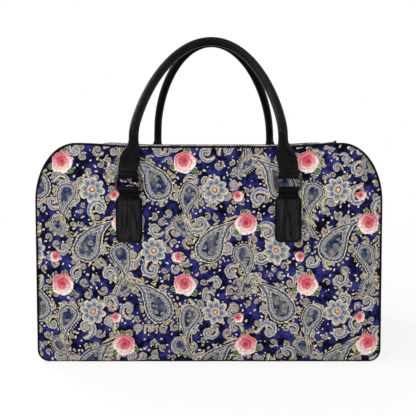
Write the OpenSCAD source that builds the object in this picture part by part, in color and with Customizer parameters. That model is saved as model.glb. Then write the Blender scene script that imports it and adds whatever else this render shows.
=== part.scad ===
// Soft duffle bag with piped panels, a top zip and two rolled handles on ring links.
// Front faces -Y, +X points right seen from the front, Z is up.
// The origin lies on the floor under the middle of the base. All sizes are in mm.

/* [Body] */
// Width over the end panels
body_w = 450; // [400:5:520]
// Height of the shoulders above the floor
body_h = 287; // [262:1:320]
// Depth between the outer sides of the front and back piping
body_d = 204; // [170:2:240]
// Thickness of the padded wall
wall = 2; // [1.6:0.1:2.4]
// How far the flat middle of the front and back panel stands out from its seam
bulge = 6; // [3:0.5:9]
// Width of the rounded border of the front and back panel
border = 34; // [24:1:36]
// How far the top edge sags between the shoulders
top_sag = 4; // [2:0.5:6]
// Length over which the top edge falls from a shoulder to its sag
sag_run = 85; // [60:5:120]
// Width of the shoulder curve
shoulder_w = 52; // [48:1:64]
// Height of the shoulder curve
shoulder_h = 75; // [60:1:95]
// Radius of the lower corners
foot_r = 14; // [10:1:20]
// Diameter of the piping
piping_d = 3; // [2.4:0.2:4]
// Thickness of the base board
board_t = 3; // [2:0.5:5]

/* [Zip] */
// Distance of the zip's ends from the ends of the bag
zip_end = 33; // [31:1:48]
// Depth of the zip below the shoulders
zip_drop = 6; // [5:0.5:8]
// Width of one zip tape, teeth left out
tape_w = 13; // [11:0.5:16]
// Thickness of the zip tape
tape_t = 0.8; // [0.6:0.1:1]
// Distance of the facing's free edge from the middle of the zip
facing_edge = 9; // [8:0.5:11]
// Length of one zip tooth across the zip
tooth_l = 2.8; // [2.4:0.1:3.2]
// Height of the zip teeth
tooth_h = 2.4; // [2:0.1:2.8]
// Distance from tooth to tooth
tooth_pitch = 3; // [2.5:0.1:4]
// Length of the slider
slider_l = 13; // [11:0.5:14]
// Thickness of the slider plates
slider_t = 1.5; // [1.2:0.1:1.8]
// Length of the pull from its pin
pull_l = 30; // [22:1:34]
// Width of the pull
pull_w = 9; // [7:0.5:11]

/* [Tabs and rings] */
// Distance between the middles of the two tabs of one panel
tab_span = 204; // [190:2:240]
// Width of a tab
tab_w = 34; // [31:0.5:38]
// Thickness of a tab
tab_t = 2.6; // [2:0.1:3]
// Length of a tab below its neck
tab_l = 57; // [45:1:70]
// Width of the tab's neck
neck_w = 27; // [24:0.5:29]
// Distance of the ring's lower bar below the shoulders
ring_drop = 60; // [57:1:70]
// Wire thickness of a ring
wire_d = 3.2; // [2.6:0.1:3.6]
// Height of a ring from bar to bar
ring_h = 19; // [17.5:0.5:22]
// Radius of the bend in the ring's corners
ring_bend = 2.6; // [2.2:0.1:3]
// Thickness of the leather folded round a ring's lower bar
fold_t = 2.4; // [1.6:0.1:2.8]

/* [Handles] */
// Thickness of the rolled handle
handle_d = 12.5; // [11:0.5:14]
// Distance between the two legs of a handle where they leave the bag
leg_span = 189; // [176:1:203]
// Height of the handle's top above the shoulders
handle_rise = 153; // [135:1:175]
// How pointed a handle's arch is; 1 is half an ellipse
arch_form = 1.2; // [1:0.05:1.3]
// Thickness of the handle's flat end
strap_t = 5; // [4:0.2:6]
// How much wider the handle swells above its flat end
strap_swell = 1.6; // [0:0.2:2.4]
// Radius of the bend with which a handle leans in over the bag's edge
lean_r = 30; // [24:1:40]

/* [Hidden] */
$fn = 48;
fit = 0.2;
loose = 0.3;
ring_gap = 0.4;
piping_r = piping_d / 2;
skirt = piping_r + loose;
seam_hw = body_w / 2 - skirt;
seam_y = body_d / 2 - piping_r;
seam_top = body_h - skirt;
gusset_y = seam_y - piping_r - fit;
shoulder_x = seam_hw - shoulder_w;
face_y = seam_y + wall / 2 + bulge;
zip_z = body_h - zip_drop;
zip_x = body_w / 2 - zip_end;
lane = 0.45;
teeth_y = lane + tooth_l;
tape_y = teeth_y + tape_w;
facing_z = zip_z + tape_t / 2 + fit;
facing_flat = tape_y + 2;
slider_in = teeth_y + loose;
slider_flange = 1.4;
slider_w = 2 * (slider_in + slider_flange);
stop_l = 2.4;
slider_x = zip_x - stop_l - loose - slider_l / 2;
slider_top = zip_z + tooth_h / 2 + loose + slider_t;
pin_r = 0.8;
pin_z = slider_top + 3.6;
pull_drop = asin((pin_z - zip_z - tooth_h / 2 - 1.3) / pull_l);
bridge_w = 2;
wire_r = wire_d / 2;
bore_r = wire_r + loose;
loop_r = bore_r + fold_t;
grip_r = loop_r + 0.5;
ring_y = face_y + loose + grip_r;
loop_w = neck_w - 2;
ring_hw = max(loop_w / 2 + ring_bend, neck_w / 2 + wire_r) + ring_gap;
ring_z = body_h - ring_drop;
ring_top = ring_z + ring_h;
tab_x = tab_span / 2;
handle_r = handle_d / 2;
leg_x = leg_span / 2;
apex_z = body_h + handle_rise - handle_r;
apex_y = handle_r + 0.5;
lean_z = max(body_h + 6, ring_top + 30);
lean_p = ring_y - lean_r - apex_y;
lean_q = apex_z - lean_z;
lean_far = sqrt(lean_p * lean_p + lean_q * lean_q);
lean_a = atan2(lean_p, lean_q) + asin(lean_r / lean_far);
lean_arc = lean_r * lean_a * PI / 180;
arch_h = lean_arc + sqrt(lean_far * lean_far - lean_r * lean_r);
strap_low = ring_top + bore_r + 0.8 - lean_z;
strap_w = loop_w - 0.8;
print_blue = "#2a2763";
leather = "#262628";
metal = "#4a4744";

function smooth(t) = let (c = max(0, min(1, t))) c * c * (3 - 2 * c);
function reverse(list) = [for (i = [len(list) - 1:-1:0]) list[i]];
function flip_x(list) = [for (p = list) [-p[0], p[1]]];
function arc(cx, cz, rx, rz, a0, a1, n) =
    [for (i = [0:n]) let (a = a0 + (a1 - a0) * i / n) [cx + rx * cos(a), cz + rz * sin(a)]];

// Height of the seam along the top edge at the distance x from the middle
function top_z(x) = seam_top - top_sag * smooth((shoulder_x - abs(x)) / sag_run);

// Height of the seam over the whole width, with the shoulders
function seam_z(x) =
    let (d = (abs(x) - shoulder_x) / shoulder_w)
    d <= 0 ? top_z(x) : seam_top - shoulder_h * (1 - sqrt(1 - d * d));

// Right half of the panel outline, moved inward by inset
function foot_arc(inset) =
    let (r = max(foot_r - inset, 0.5))
    arc(seam_hw - inset - r, skirt + inset + r, r, r, -90, 0, 6);
function shoulder_arc(inset, last = 90) =
    let (rx = shoulder_w - inset, rz = shoulder_h - inset)
    arc(shoulder_x, seam_top - shoulder_h, rx, rz, 0, last, 14);

// Closed outline of the front panel in X and Z
function outline(inset) =
    let (right = concat(foot_arc(inset), shoulder_arc(inset)))
    let (top = [for (i = [7:-1:-7]) let (x = shoulder_x * i / 8) [x, top_z(x) - inset]])
    concat(right, top, reverse(flip_x(right)));

// Solid skinned over rings that all have the same number of points
module skin(rings, closed = false) {
    n = len(rings[0]);
    m = len(rings);
    sides = [for (j = [0:(closed ? m : m - 1) - 1], i = [0:n - 1]) let (k = (j + 1) % m, l = (i + 1) % n)
        each [[j * n + i, k * n + l, j * n + l], [j * n + i, k * n + i, k * n + l]]];
    caps = closed ? [] : [[for (i = [0:n - 1]) i], [for (i = [n - 1:-1:0]) (m - 1) * n + i]];
    polyhedron(points = [for (ring = rings) each ring], faces = concat(sides, caps));
}

// Front panel: a shallow dish whose border rounds up from the seam to a flat middle
module panel() {
    insets = [for (t = [0, 0.12, 0.3, 0.52, 0.76, 1]) piping_r + fit + (border - piping_r - fit) * t];
    rise = [for (t = [0, 0.12, 0.3, 0.52, 0.76, 1]) bulge * sin(90 * t)];
    outer = [for (i = [0:5]) [for (p = outline(insets[i])) [p[0], -seam_y - wall / 2 - rise[i], p[1]]]];
    inner = [for (i = [0:5]) [for (p = outline(insets[i])) [p[0], -seam_y + wall / 2 - rise[i], p[1]]]];
    skin(concat(reverse(inner), outer));
}

module front_panel() {
    color(print_blue) panel();
}

module back_panel() {
    color(print_blue) mirror([0, 1, 0]) panel();
}

// Piping: a round cord that follows the panel's seam
module piping() {
    path = outline(0);
    n = len(path);
    skin([for (i = [0:n - 1])
        let (before = path[(i + n - 1) % n], after = path[(i + 1) % n])
        let (along = (after - before) / norm(after - before))
        [for (k = [0:7]) let (a = 45 * k)
            [path[i][0] + piping_r * cos(a) * along[1], -seam_y + piping_r * sin(a),
             path[i][1] - piping_r * cos(a) * along[0]]]], closed = true);
}

module front_piping() {
    color(leather) piping();
}

module back_piping() {
    color(leather) mirror([0, 1, 0]) piping();
}

// End panel: a strip round the lower corner, up the side and over the shoulder to the zip
module end_panel() {
    last = acos((zip_x + loose - shoulder_x) / (shoulder_w + skirt));
    inner_last = acos((zip_x + loose - shoulder_x) / (shoulder_w + skirt - wall));
    outer = concat(foot_arc(-skirt), shoulder_arc(-skirt, last));
    inner = concat(foot_arc(wall - skirt), shoulder_arc(wall - skirt, inner_last));
    rotate([90, 0, 0])
        linear_extrude(2 * gusset_y, center = true)
            polygon(concat(outer, reverse(inner)));
}

module right_end_panel() {
    color(print_blue) end_panel();
}

module left_end_panel() {
    color(print_blue) mirror([1, 0, 0]) end_panel();
}

module base_panel() {
    half = seam_hw - foot_r - fit;
    color(print_blue)
        translate([-half, -gusset_y, 0])
            cube([2 * half, 2 * gusset_y, wall]);
}

// Stiff board that lies on the base inside the bag
module base_board() {
    half_x = seam_hw - foot_r - 4;
    half_y = gusset_y - 5;
    color("#1f1f22")
        translate([0, 0, wall])
            linear_extrude(board_t)
                union() {
                    square([2 * half_x, 2 * half_y - 16], center = true);
                    square([2 * half_x - 16, 2 * half_y], center = true);
                    for (sx = [-1, 1], sy = [-1, 1])
                        translate([sx * (half_x - 8), sy * (half_y - 8)])
                            circle(r = 8);
                }
}

// Facing: the strip between the front seam and the zip, level beside the zip
module facing() {
    across = [for (i = [0:4]) facing_flat + (gusset_y - facing_flat) * i / 4];
    ys = concat([facing_edge], across);
    skin([for (i = [-12:12]) let (x = zip_x * i / 12)
        let (zs = [for (y = ys) let (t = smooth((y - facing_flat) / (gusset_y - facing_flat)))
            facing_z + wall + (seam_z(x) + skirt - facing_z - wall) * t])
        concat([for (k = [0:5]) [x, -ys[k], zs[k]]], [for (k = [5:-1:0]) [x, -ys[k], zs[k] - wall]])]);
}

module front_zip_facing() {
    color(print_blue) facing();
}

module back_zip_facing() {
    color(print_blue) mirror([0, 1, 0]) facing();
}

module tape() {
    translate([-zip_x, -tape_y, zip_z - tape_t / 2])
        cube([2 * zip_x, tape_w, tape_t]);
}

module front_zip_tape() {
    color("#17171a") tape();
}

module back_zip_tape() {
    color("#17171a") mirror([0, 1, 0]) tape();
}

// Row of teeth on one bead, drawn as a comb; the opposite row is half a pitch further
module teeth(shift) {
    run = zip_x - stop_l - loose;
    count = floor((2 * run - tooth_pitch) / tooth_pitch);
    start = -count * tooth_pitch / 2 + shift;
    bead = 1;
    comb = [for (i = [0:count - 1]) let (x = start + i * tooth_pitch)
        each [[x, -lane - tooth_l + bead], [x, -lane - 0.4], [x + 0.3, -lane],
              [x + tooth_pitch / 2 - 0.3, -lane], [x + tooth_pitch / 2, -lane - 0.4],
              [x + tooth_pitch / 2, -lane - tooth_l + bead]]];
    translate([0, 0, zip_z - tooth_h / 2])
        linear_extrude(tooth_h)
            polygon(concat([[run, -teeth_y], [-run, -teeth_y], [-run, -teeth_y + bead]], comb,
                           [[run, -teeth_y + bead]]));
}

module front_zip_teeth() {
    color("#232327") teeth(-tooth_pitch / 4);
}

module back_zip_teeth() {
    color("#232327") mirror([0, 1, 0]) teeth(tooth_pitch / 4);
}

// Metal clips that end the row of teeth on both sides
module zip_end_stops() {
    color(metal)
        for (side = [-1, 1])
            translate([side * (zip_x - stop_l / 2), 0, zip_z])
                cube([stop_l, 2 * teeth_y, tooth_h + 0.8], center = true);
}

// Slider: two plates joined by a thin post, with flanges that leave a slot for the tape
module zip_slider() {
    gap = tooth_h / 2 + loose;
    slot = tape_t / 2 + loose;
    color(metal)
        translate([slider_x, 0, zip_z])
            difference() {
                union() {
                    for (side = [-1, 1])
                        mirror([0, 0, side < 0 ? 1 : 0]) {
                            translate([0, 0, gap])
                                linear_extrude(slider_t)
                                    slider_plan();
                            for (edge = [-1, 1])
                                translate([-slider_l / 2 + 2, edge * (slider_in + 0.7) - 0.7, slot])
                                    cube([slider_l - 4, slider_flange, gap - slot + slider_t / 2]);
                        }
                    translate([slider_l / 2 - 4, -0.25, -gap - slider_t / 2])
                        cube([3, 0.5, 2 * gap + slider_t]);
                    translate([0, bridge_w / 2, slider_top - zip_z])
                        rotate([90, 0, 0])
                            linear_extrude(bridge_w)
                                bridge_profile();
                }
                translate([0, bridge_w, pin_z - zip_z])
                    rotate([90, 0, 0])
                        cylinder(r = pin_r + loose, h = 2 * bridge_w);
            }
}

module slider_plan() {
    union() {
        square([slider_l - 4, slider_w], center = true);
        square([slider_l, slider_w - 4], center = true);
        for (sx = [-1, 1], sy = [-1, 1])
            translate([sx * (slider_l / 2 - 2), sy * (slider_w / 2 - 2)])
                circle(r = 2);
    }
}

module bridge_profile() {
    union() {
        translate([0, pin_z - slider_top])
            circle(r = pin_r + loose + 0.9);
        translate([-2, -0.4])
            square([4, pin_z - slider_top + 0.4]);
    }
}

// Pull: a flat tab on a forked eye whose pin runs through the slider's bridge
module zip_pull() {
    arm = bridge_w / 2 + loose;
    color(metal)
        translate([slider_x, 0, pin_z])
            rotate([0, -pull_drop, 0])
                union() {
                    rotate([90, 0, 0])
                        cylinder(r = pin_r, h = 2 * arm + 2, center = true);
                    for (side = [-1, 1])
                        translate([0, side * (arm + 0.6) + 0.6, 0])
                            rotate([90, 0, 0])
                                linear_extrude(1.2)
                                    union() {
                                        circle(r = 1.5);
                                        translate([-6, -0.8])
                                            square([6, 1.6]);
                                    }
                    translate([0, 0, -0.8])
                        linear_extrude(1.6)
                            difference() {
                                union() {
                                    translate([-pull_l + pull_w / 2, -pull_w / 2])
                                        square([pull_l - pull_w / 2 - 4.5, pull_w]);
                                    translate([-pull_l + pull_w / 2, 0])
                                        circle(r = pull_w / 2);
                                }
                                translate([-pull_l + pull_w / 2, 0])
                                    circle(r = pull_w / 2 - 2);
                            }
                }
}

// Leather tab sewn to the panel, folded round the lower bar of its ring
module tab() {
    neck_z = ring_z - 11;
    corner = 7;
    low = neck_z - tab_l;
    right = concat(arc(tab_w / 2 - corner, low + corner, corner, corner, -90, 0, 6),
                   [[tab_w / 2 - 0.5, neck_z - 4], [neck_w / 2, neck_z + 1],
                    [neck_w / 2, ring_z - loop_r]]);
    difference() {
        union() {
            translate([0, -face_y - fit, 0])
                rotate([90, 0, 0])
                    linear_extrude(tab_t)
                        polygon(concat(right, reverse(flip_x(right))));
            translate([-loop_w / 2, 0, 0])
                rotate([90, 0, 90])
                    linear_extrude(loop_w)
                        hull() {
                            translate([-ring_y, ring_z])
                                circle(r = loop_r);
                            translate([-face_y - fit - tab_t, neck_z - 1])
                                square([tab_t, 2]);
                        }
        }
        translate([0, -ring_y, ring_z])
            rotate([0, 90, 0])
                cylinder(r = bore_r, h = neck_w + 2, center = true);
    }
}

module front_right_tab() {
    color(leather) translate([tab_x, 0, 0]) tab();
}

module front_left_tab() {
    color(leather) translate([-tab_x, 0, 0]) tab();
}

module back_right_tab() {
    color(leather) mirror([0, 1, 0]) translate([tab_x, 0, 0]) tab();
}

module back_left_tab() {
    color(leather) mirror([0, 1, 0]) translate([-tab_x, 0, 0]) tab();
}

// Ring: round wire bent to a rectangle with rounded corners
module ring() {
    bar_x = 2 * (ring_hw - ring_bend);
    bar_z = ring_h - 2 * ring_bend;
    translate([0, -ring_y, ring_z + ring_h / 2])
        union() {
            for (side = [-1, 1]) {
                translate([0, 0, side * ring_h / 2])
                    rotate([0, 90, 0])
                        cylinder(r = wire_r, h = bar_x, center = true);
                translate([side * ring_hw, 0, 0])
                    cylinder(r = wire_r, h = bar_z, center = true);
            }
            for (turn = [0:3])
                translate([(turn == 0 || turn == 3 ? 1 : -1) * bar_x / 2, 0,
                           (turn < 2 ? 1 : -1) * bar_z / 2])
                    rotate([90, 0, 0])
                        mirror([0, 0, 1])
                            rotate([0, 0, 90 * turn])
                                rotate_extrude(angle = 90)
                                    translate([ring_bend, 0])
                                        circle(r = wire_r);
        }
}

module front_right_ring() {
    color(metal) translate([tab_x, 0, 0]) ring();
}

module front_left_ring() {
    color(metal) translate([-tab_x, 0, 0]) ring();
}

module back_right_ring() {
    color(metal) mirror([0, 1, 0]) translate([tab_x, 0, 0]) ring();
}

module back_left_ring() {
    color(metal) mirror([0, 1, 0]) translate([-tab_x, 0, 0]) ring();
}

// Side view of the handle: upright to the bend, then a lean to the apex; s runs along it
function lean_angle(s) = s <= 0 ? 0 : s < lean_arc ? s / lean_r * 180 / PI : lean_a;
function lean_point(s) =
    let (a = lean_angle(s), rest = max(0, s - lean_arc))
    [-ring_y + lean_r * (1 - cos(a)) + rest * sin(a), lean_z + min(s, 0) + lean_r * sin(a) + rest * cos(a)];

// Middle of the handle's flat end, which moves out from the leg to its ring
function end_x(s) = leg_x + (tab_x - leg_x) * smooth(s / strap_low);

// Closed cross-section, half as wide as w along the sheet and half as thick as t across it
function handle_ring(x, s, tilt, w, t) =
    let (a = lean_angle(s), p = lean_point(s))
    [for (k = [0:15])
        let (c = cos(22.5 * k), d = sin(22.5 * k), e = w > t + 0.5 ? 0.7 : 1)
        let (i = w * sign(c) * pow(abs(c), e), j = t * sign(d) * pow(abs(d), e))
        [x + i * cos(tilt),
         p[0] + i * sin(tilt) * sin(a) + j * cos(a),
         p[1] + i * sin(tilt) * cos(a) - j * sin(a)]];

// Rolled handle: an arch on the leaning sheet; the tube flattens towards each end,
// where it folds round the upper bar of its ring
module handle() {
    flat = [0, 0.22, 0.4, 0.52, 0.64, 0.76, 0.88, 1];
    bulb = (strap_w + strap_swell) / 2;
    width = [for (f = flat)
        handle_r + (bulb - handle_r) * smooth((0.97 - f) / 0.55) - strap_swell / 2 * smooth(1 - f / 0.24)];
    thick = [for (f = flat)
        handle_r + (strap_t / 2 - handle_r) * smooth((0.72 - f) / 0.5)
            + (grip_r - 0.3 - strap_t / 2) * smooth(1 - f / 0.2)];
    left = [for (i = [0:7]) let (s = strap_low * (1 - flat[i]))
        handle_ring(-end_x(s), s, 0, width[i], thick[i])];
    right = [for (i = [7:-1:0]) let (s = strap_low * (1 - flat[i]))
        handle_ring(end_x(s), s, -180, width[i], thick[i])];
    arch = [for (i = [1:35]) let (q = 5 * i, s = arch_h * pow(sin(q), arch_form))
        let (climb = arch_h * arch_form * pow(sin(q), arch_form - 1) * cos(q))
        handle_ring(-leg_x * cos(q), s, -atan2(leg_x * sin(q), climb), handle_r, handle_r)];
    union() {
        skin(concat(left, arch, right));
        for (side = [-1, 1])
            translate([side * tab_x, -ring_y, ring_top])
                rotate([0, 90, 0])
                    difference() {
                        cylinder(r = grip_r, h = loop_w, center = true);
                        cylinder(r = bore_r, h = neck_w + 2, center = true);
                    }
    }
}

module front_handle() {
    color(leather) handle();
}

module back_handle() {
    color(leather) mirror([0, 1, 0]) handle();
}

front_panel();
back_panel();
left_end_panel();
right_end_panel();
base_panel();
base_board();
front_zip_facing();
back_zip_facing();
front_zip_tape();
back_zip_tape();
front_zip_teeth();
back_zip_teeth();
zip_end_stops();
zip_slider();
zip_pull();
front_piping();
back_piping();
front_left_tab();
front_right_tab();
back_left_tab();
back_right_tab();
front_left_ring();
front_right_ring();
back_left_ring();
back_right_ring();
front_handle();
back_handle();
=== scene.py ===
"""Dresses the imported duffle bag: a printed and piped cover, rolled handles, leather tabs and a top zip.

Places come from the boxes of the frame, and the sizes that no box gives are fields of the classes.
Lengths are metres, and MM turns millimetres into them.
"""

import logging
import math
from dataclasses import dataclass
from enum import Enum
from typing import Callable, NamedTuple

import bmesh
import bpy
from bmesh.types import BMEdge, BMesh, BMVert
from bpy.types import ID, Material, Node, NodeSocket, NodeTree, Object
from mathutils import Matrix, Vector, noise


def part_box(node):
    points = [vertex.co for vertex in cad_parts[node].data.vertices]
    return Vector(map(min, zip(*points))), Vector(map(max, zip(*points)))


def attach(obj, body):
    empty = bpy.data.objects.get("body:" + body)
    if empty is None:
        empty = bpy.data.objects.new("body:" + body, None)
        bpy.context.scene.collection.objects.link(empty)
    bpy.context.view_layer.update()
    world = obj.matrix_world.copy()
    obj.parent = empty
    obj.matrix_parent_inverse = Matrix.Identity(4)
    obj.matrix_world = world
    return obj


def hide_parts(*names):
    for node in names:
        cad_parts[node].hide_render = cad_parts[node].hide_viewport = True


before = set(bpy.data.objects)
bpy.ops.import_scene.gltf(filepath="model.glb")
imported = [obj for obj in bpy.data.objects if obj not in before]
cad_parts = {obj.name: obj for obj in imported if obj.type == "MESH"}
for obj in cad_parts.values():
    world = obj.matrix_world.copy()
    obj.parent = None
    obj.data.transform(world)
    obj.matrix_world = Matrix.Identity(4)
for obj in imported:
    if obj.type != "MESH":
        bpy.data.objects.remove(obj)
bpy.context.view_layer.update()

MM = 0.001
CLOTH_MAP = "cloth"
# Name of the tabs' field: pale wear on the body, black painted shade in the neck under the loop, and black
# edge paint with painted shade along the rounded rim
WEAR_AND_SHADE = "rubbed"
BAG = "bag"
FRONT, BACK = -1, 1
# Play between the bar of a ring and the leather that is folded round it
RING_PLAY = 0.3 * MM
# Room between a leather loop and the sides of its ring
LOOP_ROOM = 1.4 * MM
# Steps of the simulation in which the cloth relaxes
SETTLE_STEPS = 20
LOG = logging.getLogger("duffle_bag")

# Lines of shader maths that turn x and y into a distance from the middle and an angle
POLAR = """
    square MULTIPLY x x
    sum MULTIPLY_ADD y y square
    far SQRT sum
    angle ARCTAN2 y x
"""

Place = Callable[[float, float], Vector]
Sockets = dict[str, NodeSocket]


def smooth(t: float) -> float:
    """Eases from 0 to 1 as t goes from 0 to 1."""
    t = min(1.0, max(0.0, t))
    return t * t * (3 - 2 * t)


def soft_min(a: float, b: float, blend: float) -> float:
    """Gives the smaller of two lengths, rounded over where they are nearly equal."""
    h = max(blend - abs(a - b), 0.0) / blend
    return min(a, b) - h * h * blend / 4


def ripple(point: Vector, size: float, seed: float) -> float:
    """Gives a smooth random height from -1 to 1.

    Args:
        point: Where it is read, in metres.
        size: Distance from one swelling to the next.
        seed: Picks one of many different surfaces.

    Returns:
        The height there.
    """
    return noise.noise(point / size + Vector((seed, 1.7 * seed, 0.3 * seed)))


def linear(code: str) -> tuple[float, float, float, float]:
    """Turns an sRGB hex colour into linear red, green and blue with an alpha of one."""
    channels = [int(code[i:i + 2], 16) / 255 for i in (1, 3, 5)]
    return (*[c / 12.92 if c <= 0.04045 else ((c + 0.055) / 1.055) ** 2.4 for c in channels], 1.0)


def add(tree: NodeTree, kind: str, settings: dict | None = None,
        inputs: dict | None = None) -> Node:
    """Adds a shader node with its settings and links.

    Args:
        tree: Node tree that gets the node.
        kind: Node type after the prefix that all shader nodes share.
        settings: Properties by name; "stops" fills a colour ramp with pairs of a place and a hex colour.
        inputs: What each input gets, by name or number: a socket to link, or a value.

    Returns:
        The new node.
    """
    node = tree.nodes.new("ShaderNode" + kind)
    for name, value in (settings or {}).items():
        if name != "stops":
            setattr(node, name, value)
            continue
        ramp = node.color_ramp
        while len(ramp.elements) < len(value):
            ramp.elements.new(1.0)
        for element, (at, code) in zip(ramp.elements, value):
            element.position = at
            element.color = linear(code)
    for name, value in (inputs or {}).items():
        if isinstance(value, NodeSocket):
            tree.links.new(value, node.inputs[name])
        else:
            node.inputs[name].default_value = value
    return node


def lay(tree: NodeTree, known: Sockets, recipe: str) -> None:
    """Adds a chain of maths nodes.

    Args:
        tree: Node tree that gets the chain.
        known: Sockets by name, which the recipe reads and to which it adds its own results.
        recipe: Lines of a name, a maths operation and its inputs, each a known name or a number.
    """
    for line in recipe.strip().splitlines():
        name, operation, *words = line.split()
        inputs = {i: known[word] if word in known else float(word) for i, word in enumerate(words)}
        known[name] = add(tree, "Math", {"operation": operation}, inputs).outputs[0]


def blank(name: str) -> tuple[Material, NodeTree]:
    """Makes a material with an empty node tree.

    Args:
        name: Name of the material.

    Returns:
        The material and its node tree.
    """
    material = bpy.data.materials.new(name)
    material.use_nodes = True
    material.node_tree.nodes.clear()
    return material, material.node_tree


class Motif(Enum):
    """Ornaments of the printed pattern."""

    PAISLEY = "paisley"
    ROSE = "rose"
    ROSETTE = "rosette"


@dataclass(frozen=True)
class Stamp:
    """One ornament of the repeat: its kind, place and size in millimetres, and its turn in degrees."""

    motif: Motif
    x: float
    y: float
    size: float
    turn: float


@dataclass(frozen=True)
class PrintedCloth:
    """Polyester cloth with a grained coating and an all-over print of paisleys, scrolls and roses.

    The print is a half-drop repeat: every second column is mirrored and lies half a repeat lower. All sizes
    are millimetres on the flat cloth.
    """

    column: float = 79.0
    drop: float = 158.0
    hand: float = 1.7
    hand_size: float = 11.0
    cloud: float = 16.0
    stroke: float = 2.6
    drop_cell: float = 7.5
    frond: float = 17.0
    scroll: float = 33.0
    filigree: float = 9.5
    grain: float = 1.5
    grain_depth: float = 0.25
    emboss: float = 0.16
    roughness: float = 0.6
    specular: float = 0.03
    stamps: tuple[Stamp, ...] = (
        Stamp(Motif.ROSETTE, 20, 100, 17, 12),
        Stamp(Motif.PAISLEY, 58, 128, 18, 150),
        Stamp(Motif.PAISLEY, 62, 6, 25, 205),
        Stamp(Motif.PAISLEY, 20, 40, 35, -24),
        Stamp(Motif.ROSE, 50, 92, 6.5, 40),
        Stamp(Motif.ROSE, 60, 56, 14, -20),
    )

    GROUND = ((0.33, "#03040f"), (0.45, "#0f1034"), (0.56, "#232562"), (0.72, "#3c3e86"))
    BANDS = ((0.0, "#d9ccaa"), (0.63, "#50608a"), (0.76, "#d6cbab"), (0.80, "#7d8cab"), (0.90, "#0d0e2e"),
             (0.95, "#e2d9c0"))
    HATCH = ((0.0, "#c9b98f"), (0.63, "#a3997c"), (0.76, "#cfc09a"), (0.80, "#5f6b85"), (0.90, "#0d0e2e"),
             (0.95, "#bfae84"))
    PETALS = ((0.0, "#a82a44"), (0.22, "#cc5062"), (0.40, "#e08c92"), (0.58, "#efc4bf"), (0.8, "#f6e6de"))
    LEAF = ((0.0, "#8fae6a"), (0.2, "#41703c"), (0.75, "#2e5732"), (0.86, "#c9bd96"))
    ROUND = ((0.0, "#d9c694"), (0.15, "#15163f"), (0.22, "#d3a9a2"), (0.34, "#d3c49c"), (0.40, "#67748f"),
             (0.66, "#9ba3ae"), (0.86, "#dccfae"))
    SCROLL = ((0.0, "#6c7b9c"), (0.34, "#8f9bb2"), (0.56, "#e0d6bc"), (0.9, "#a8956c"))
    FROND = ((0.0, "#9c947e"), (0.34, "#727e98"), (0.56, "#d6c8a2"), (0.9, "#9c8a62"))
    FILIGREE = ((0.0, "#9a9684"), (0.4, "#6b7587"), (0.62, "#c9bd9c"), (0.9, "#8d8264"))
    FILL = ((0.35, "#1f2750"), (0.5, "#3c4a6c"), (0.65, "#6a6a66"))
    DROP = ((0.0, "#f2ecda"), (1.0, "#d2c39c"))
    VEIN = "#4c5870"
    SEAM = "#d3c49c"

    def material(self) -> Material:
        """Builds the material: the ground, then each layer of the print, then the grain.

        Returns:
            The material.
        """
        material, tree = blank("printed_coated_cloth")
        cloth = add(tree, "UVMap", {"uv_map": CLOTH_MAP})
        flat = add(tree, "VectorMath", {"operation": "SCALE"},
                   {0: cloth.outputs[0], "Scale": 1 / MM}).outputs[0]
        brush = add(tree, "TexNoise", {"noise_dimensions": "2D"},
                    {"Vector": flat, "Scale": 1 / self.hand_size, "Detail": 2.0})
        nudge = add(tree, "VectorMath", {"operation": "MULTIPLY_ADD"},
                    {0: brush.outputs["Color"], 1: [2 * self.hand] * 3, 2: [-self.hand] * 3})
        drawn = add(tree, "VectorMath", {"operation": "ADD"}, {0: flat, 1: nudge.outputs[0]}).outputs[0]
        colour = self.ground(tree, flat)
        colour = self.drops(tree, drawn, colour)
        colour = self.scrolls(tree, drawn, colour, self.frond, self.FROND)
        colour = self.scrolls(tree, drawn, colour, self.scroll, self.SCROLL)
        fill = add(tree, "ValToRGB", {"stops": self.FILL}, {0: brush.outputs[0]}).outputs[0]
        fill = self.scrolls(tree, drawn, fill, self.filigree, self.FILIGREE)
        draw = {Motif.PAISLEY: self.paisley, Motif.ROSE: self.rose, Motif.ROSETTE: self.rosette}
        for stamp in self.stamps:
            known = {**self.local(tree, drawn, stamp), "fill": fill}
            colour = draw[stamp.motif](tree, known, colour)
        colour = self.wash(tree, flat, colour)
        pebble = add(tree, "TexVoronoi", {"voronoi_dimensions": "2D"},
                     {"Vector": flat, "Scale": 1 / self.grain})
        relief = add(tree, "Bump", None,
                     {"Strength": self.emboss, "Distance": self.grain_depth * MM,
                      "Height": pebble.outputs[0]})
        sheen = add(tree, "MapRange", None, {"Value": brush.outputs[0], "To Min": self.roughness - 0.08,
                                             "To Max": self.roughness + 0.1})
        shader = add(tree, "BsdfPrincipled", None,
                     {"Base Color": colour, "Roughness": sheen.outputs[0], "Normal": relief.outputs[0],
                      "IOR": 1.5, "Specular IOR Level": self.specular})
        add(tree, "OutputMaterial", None, {"Surface": shader.outputs[0]})
        return material

    def paint(self, tree: NodeTree, under: NodeSocket, over: NodeSocket,
              mask: NodeSocket) -> NodeSocket:
        """Puts one colour over another where the mask is one."""
        return add(tree, "Mix", {"data_type": "RGBA"}, {0: mask, 6: under, 7: over}).outputs[2]

    def ground(self, tree: NodeTree, flat: NodeSocket) -> NodeSocket:
        """Gives the mottled navy ground of the print."""
        cloud = add(tree, "TexNoise", {"noise_dimensions": "2D"},
                    {"Vector": flat, "Scale": 1 / self.cloud, "Detail": 4.0, "Roughness": 0.62})
        return add(tree, "ValToRGB", {"stops": self.GROUND}, {0: cloud.outputs[0]}).outputs[0]

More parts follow.
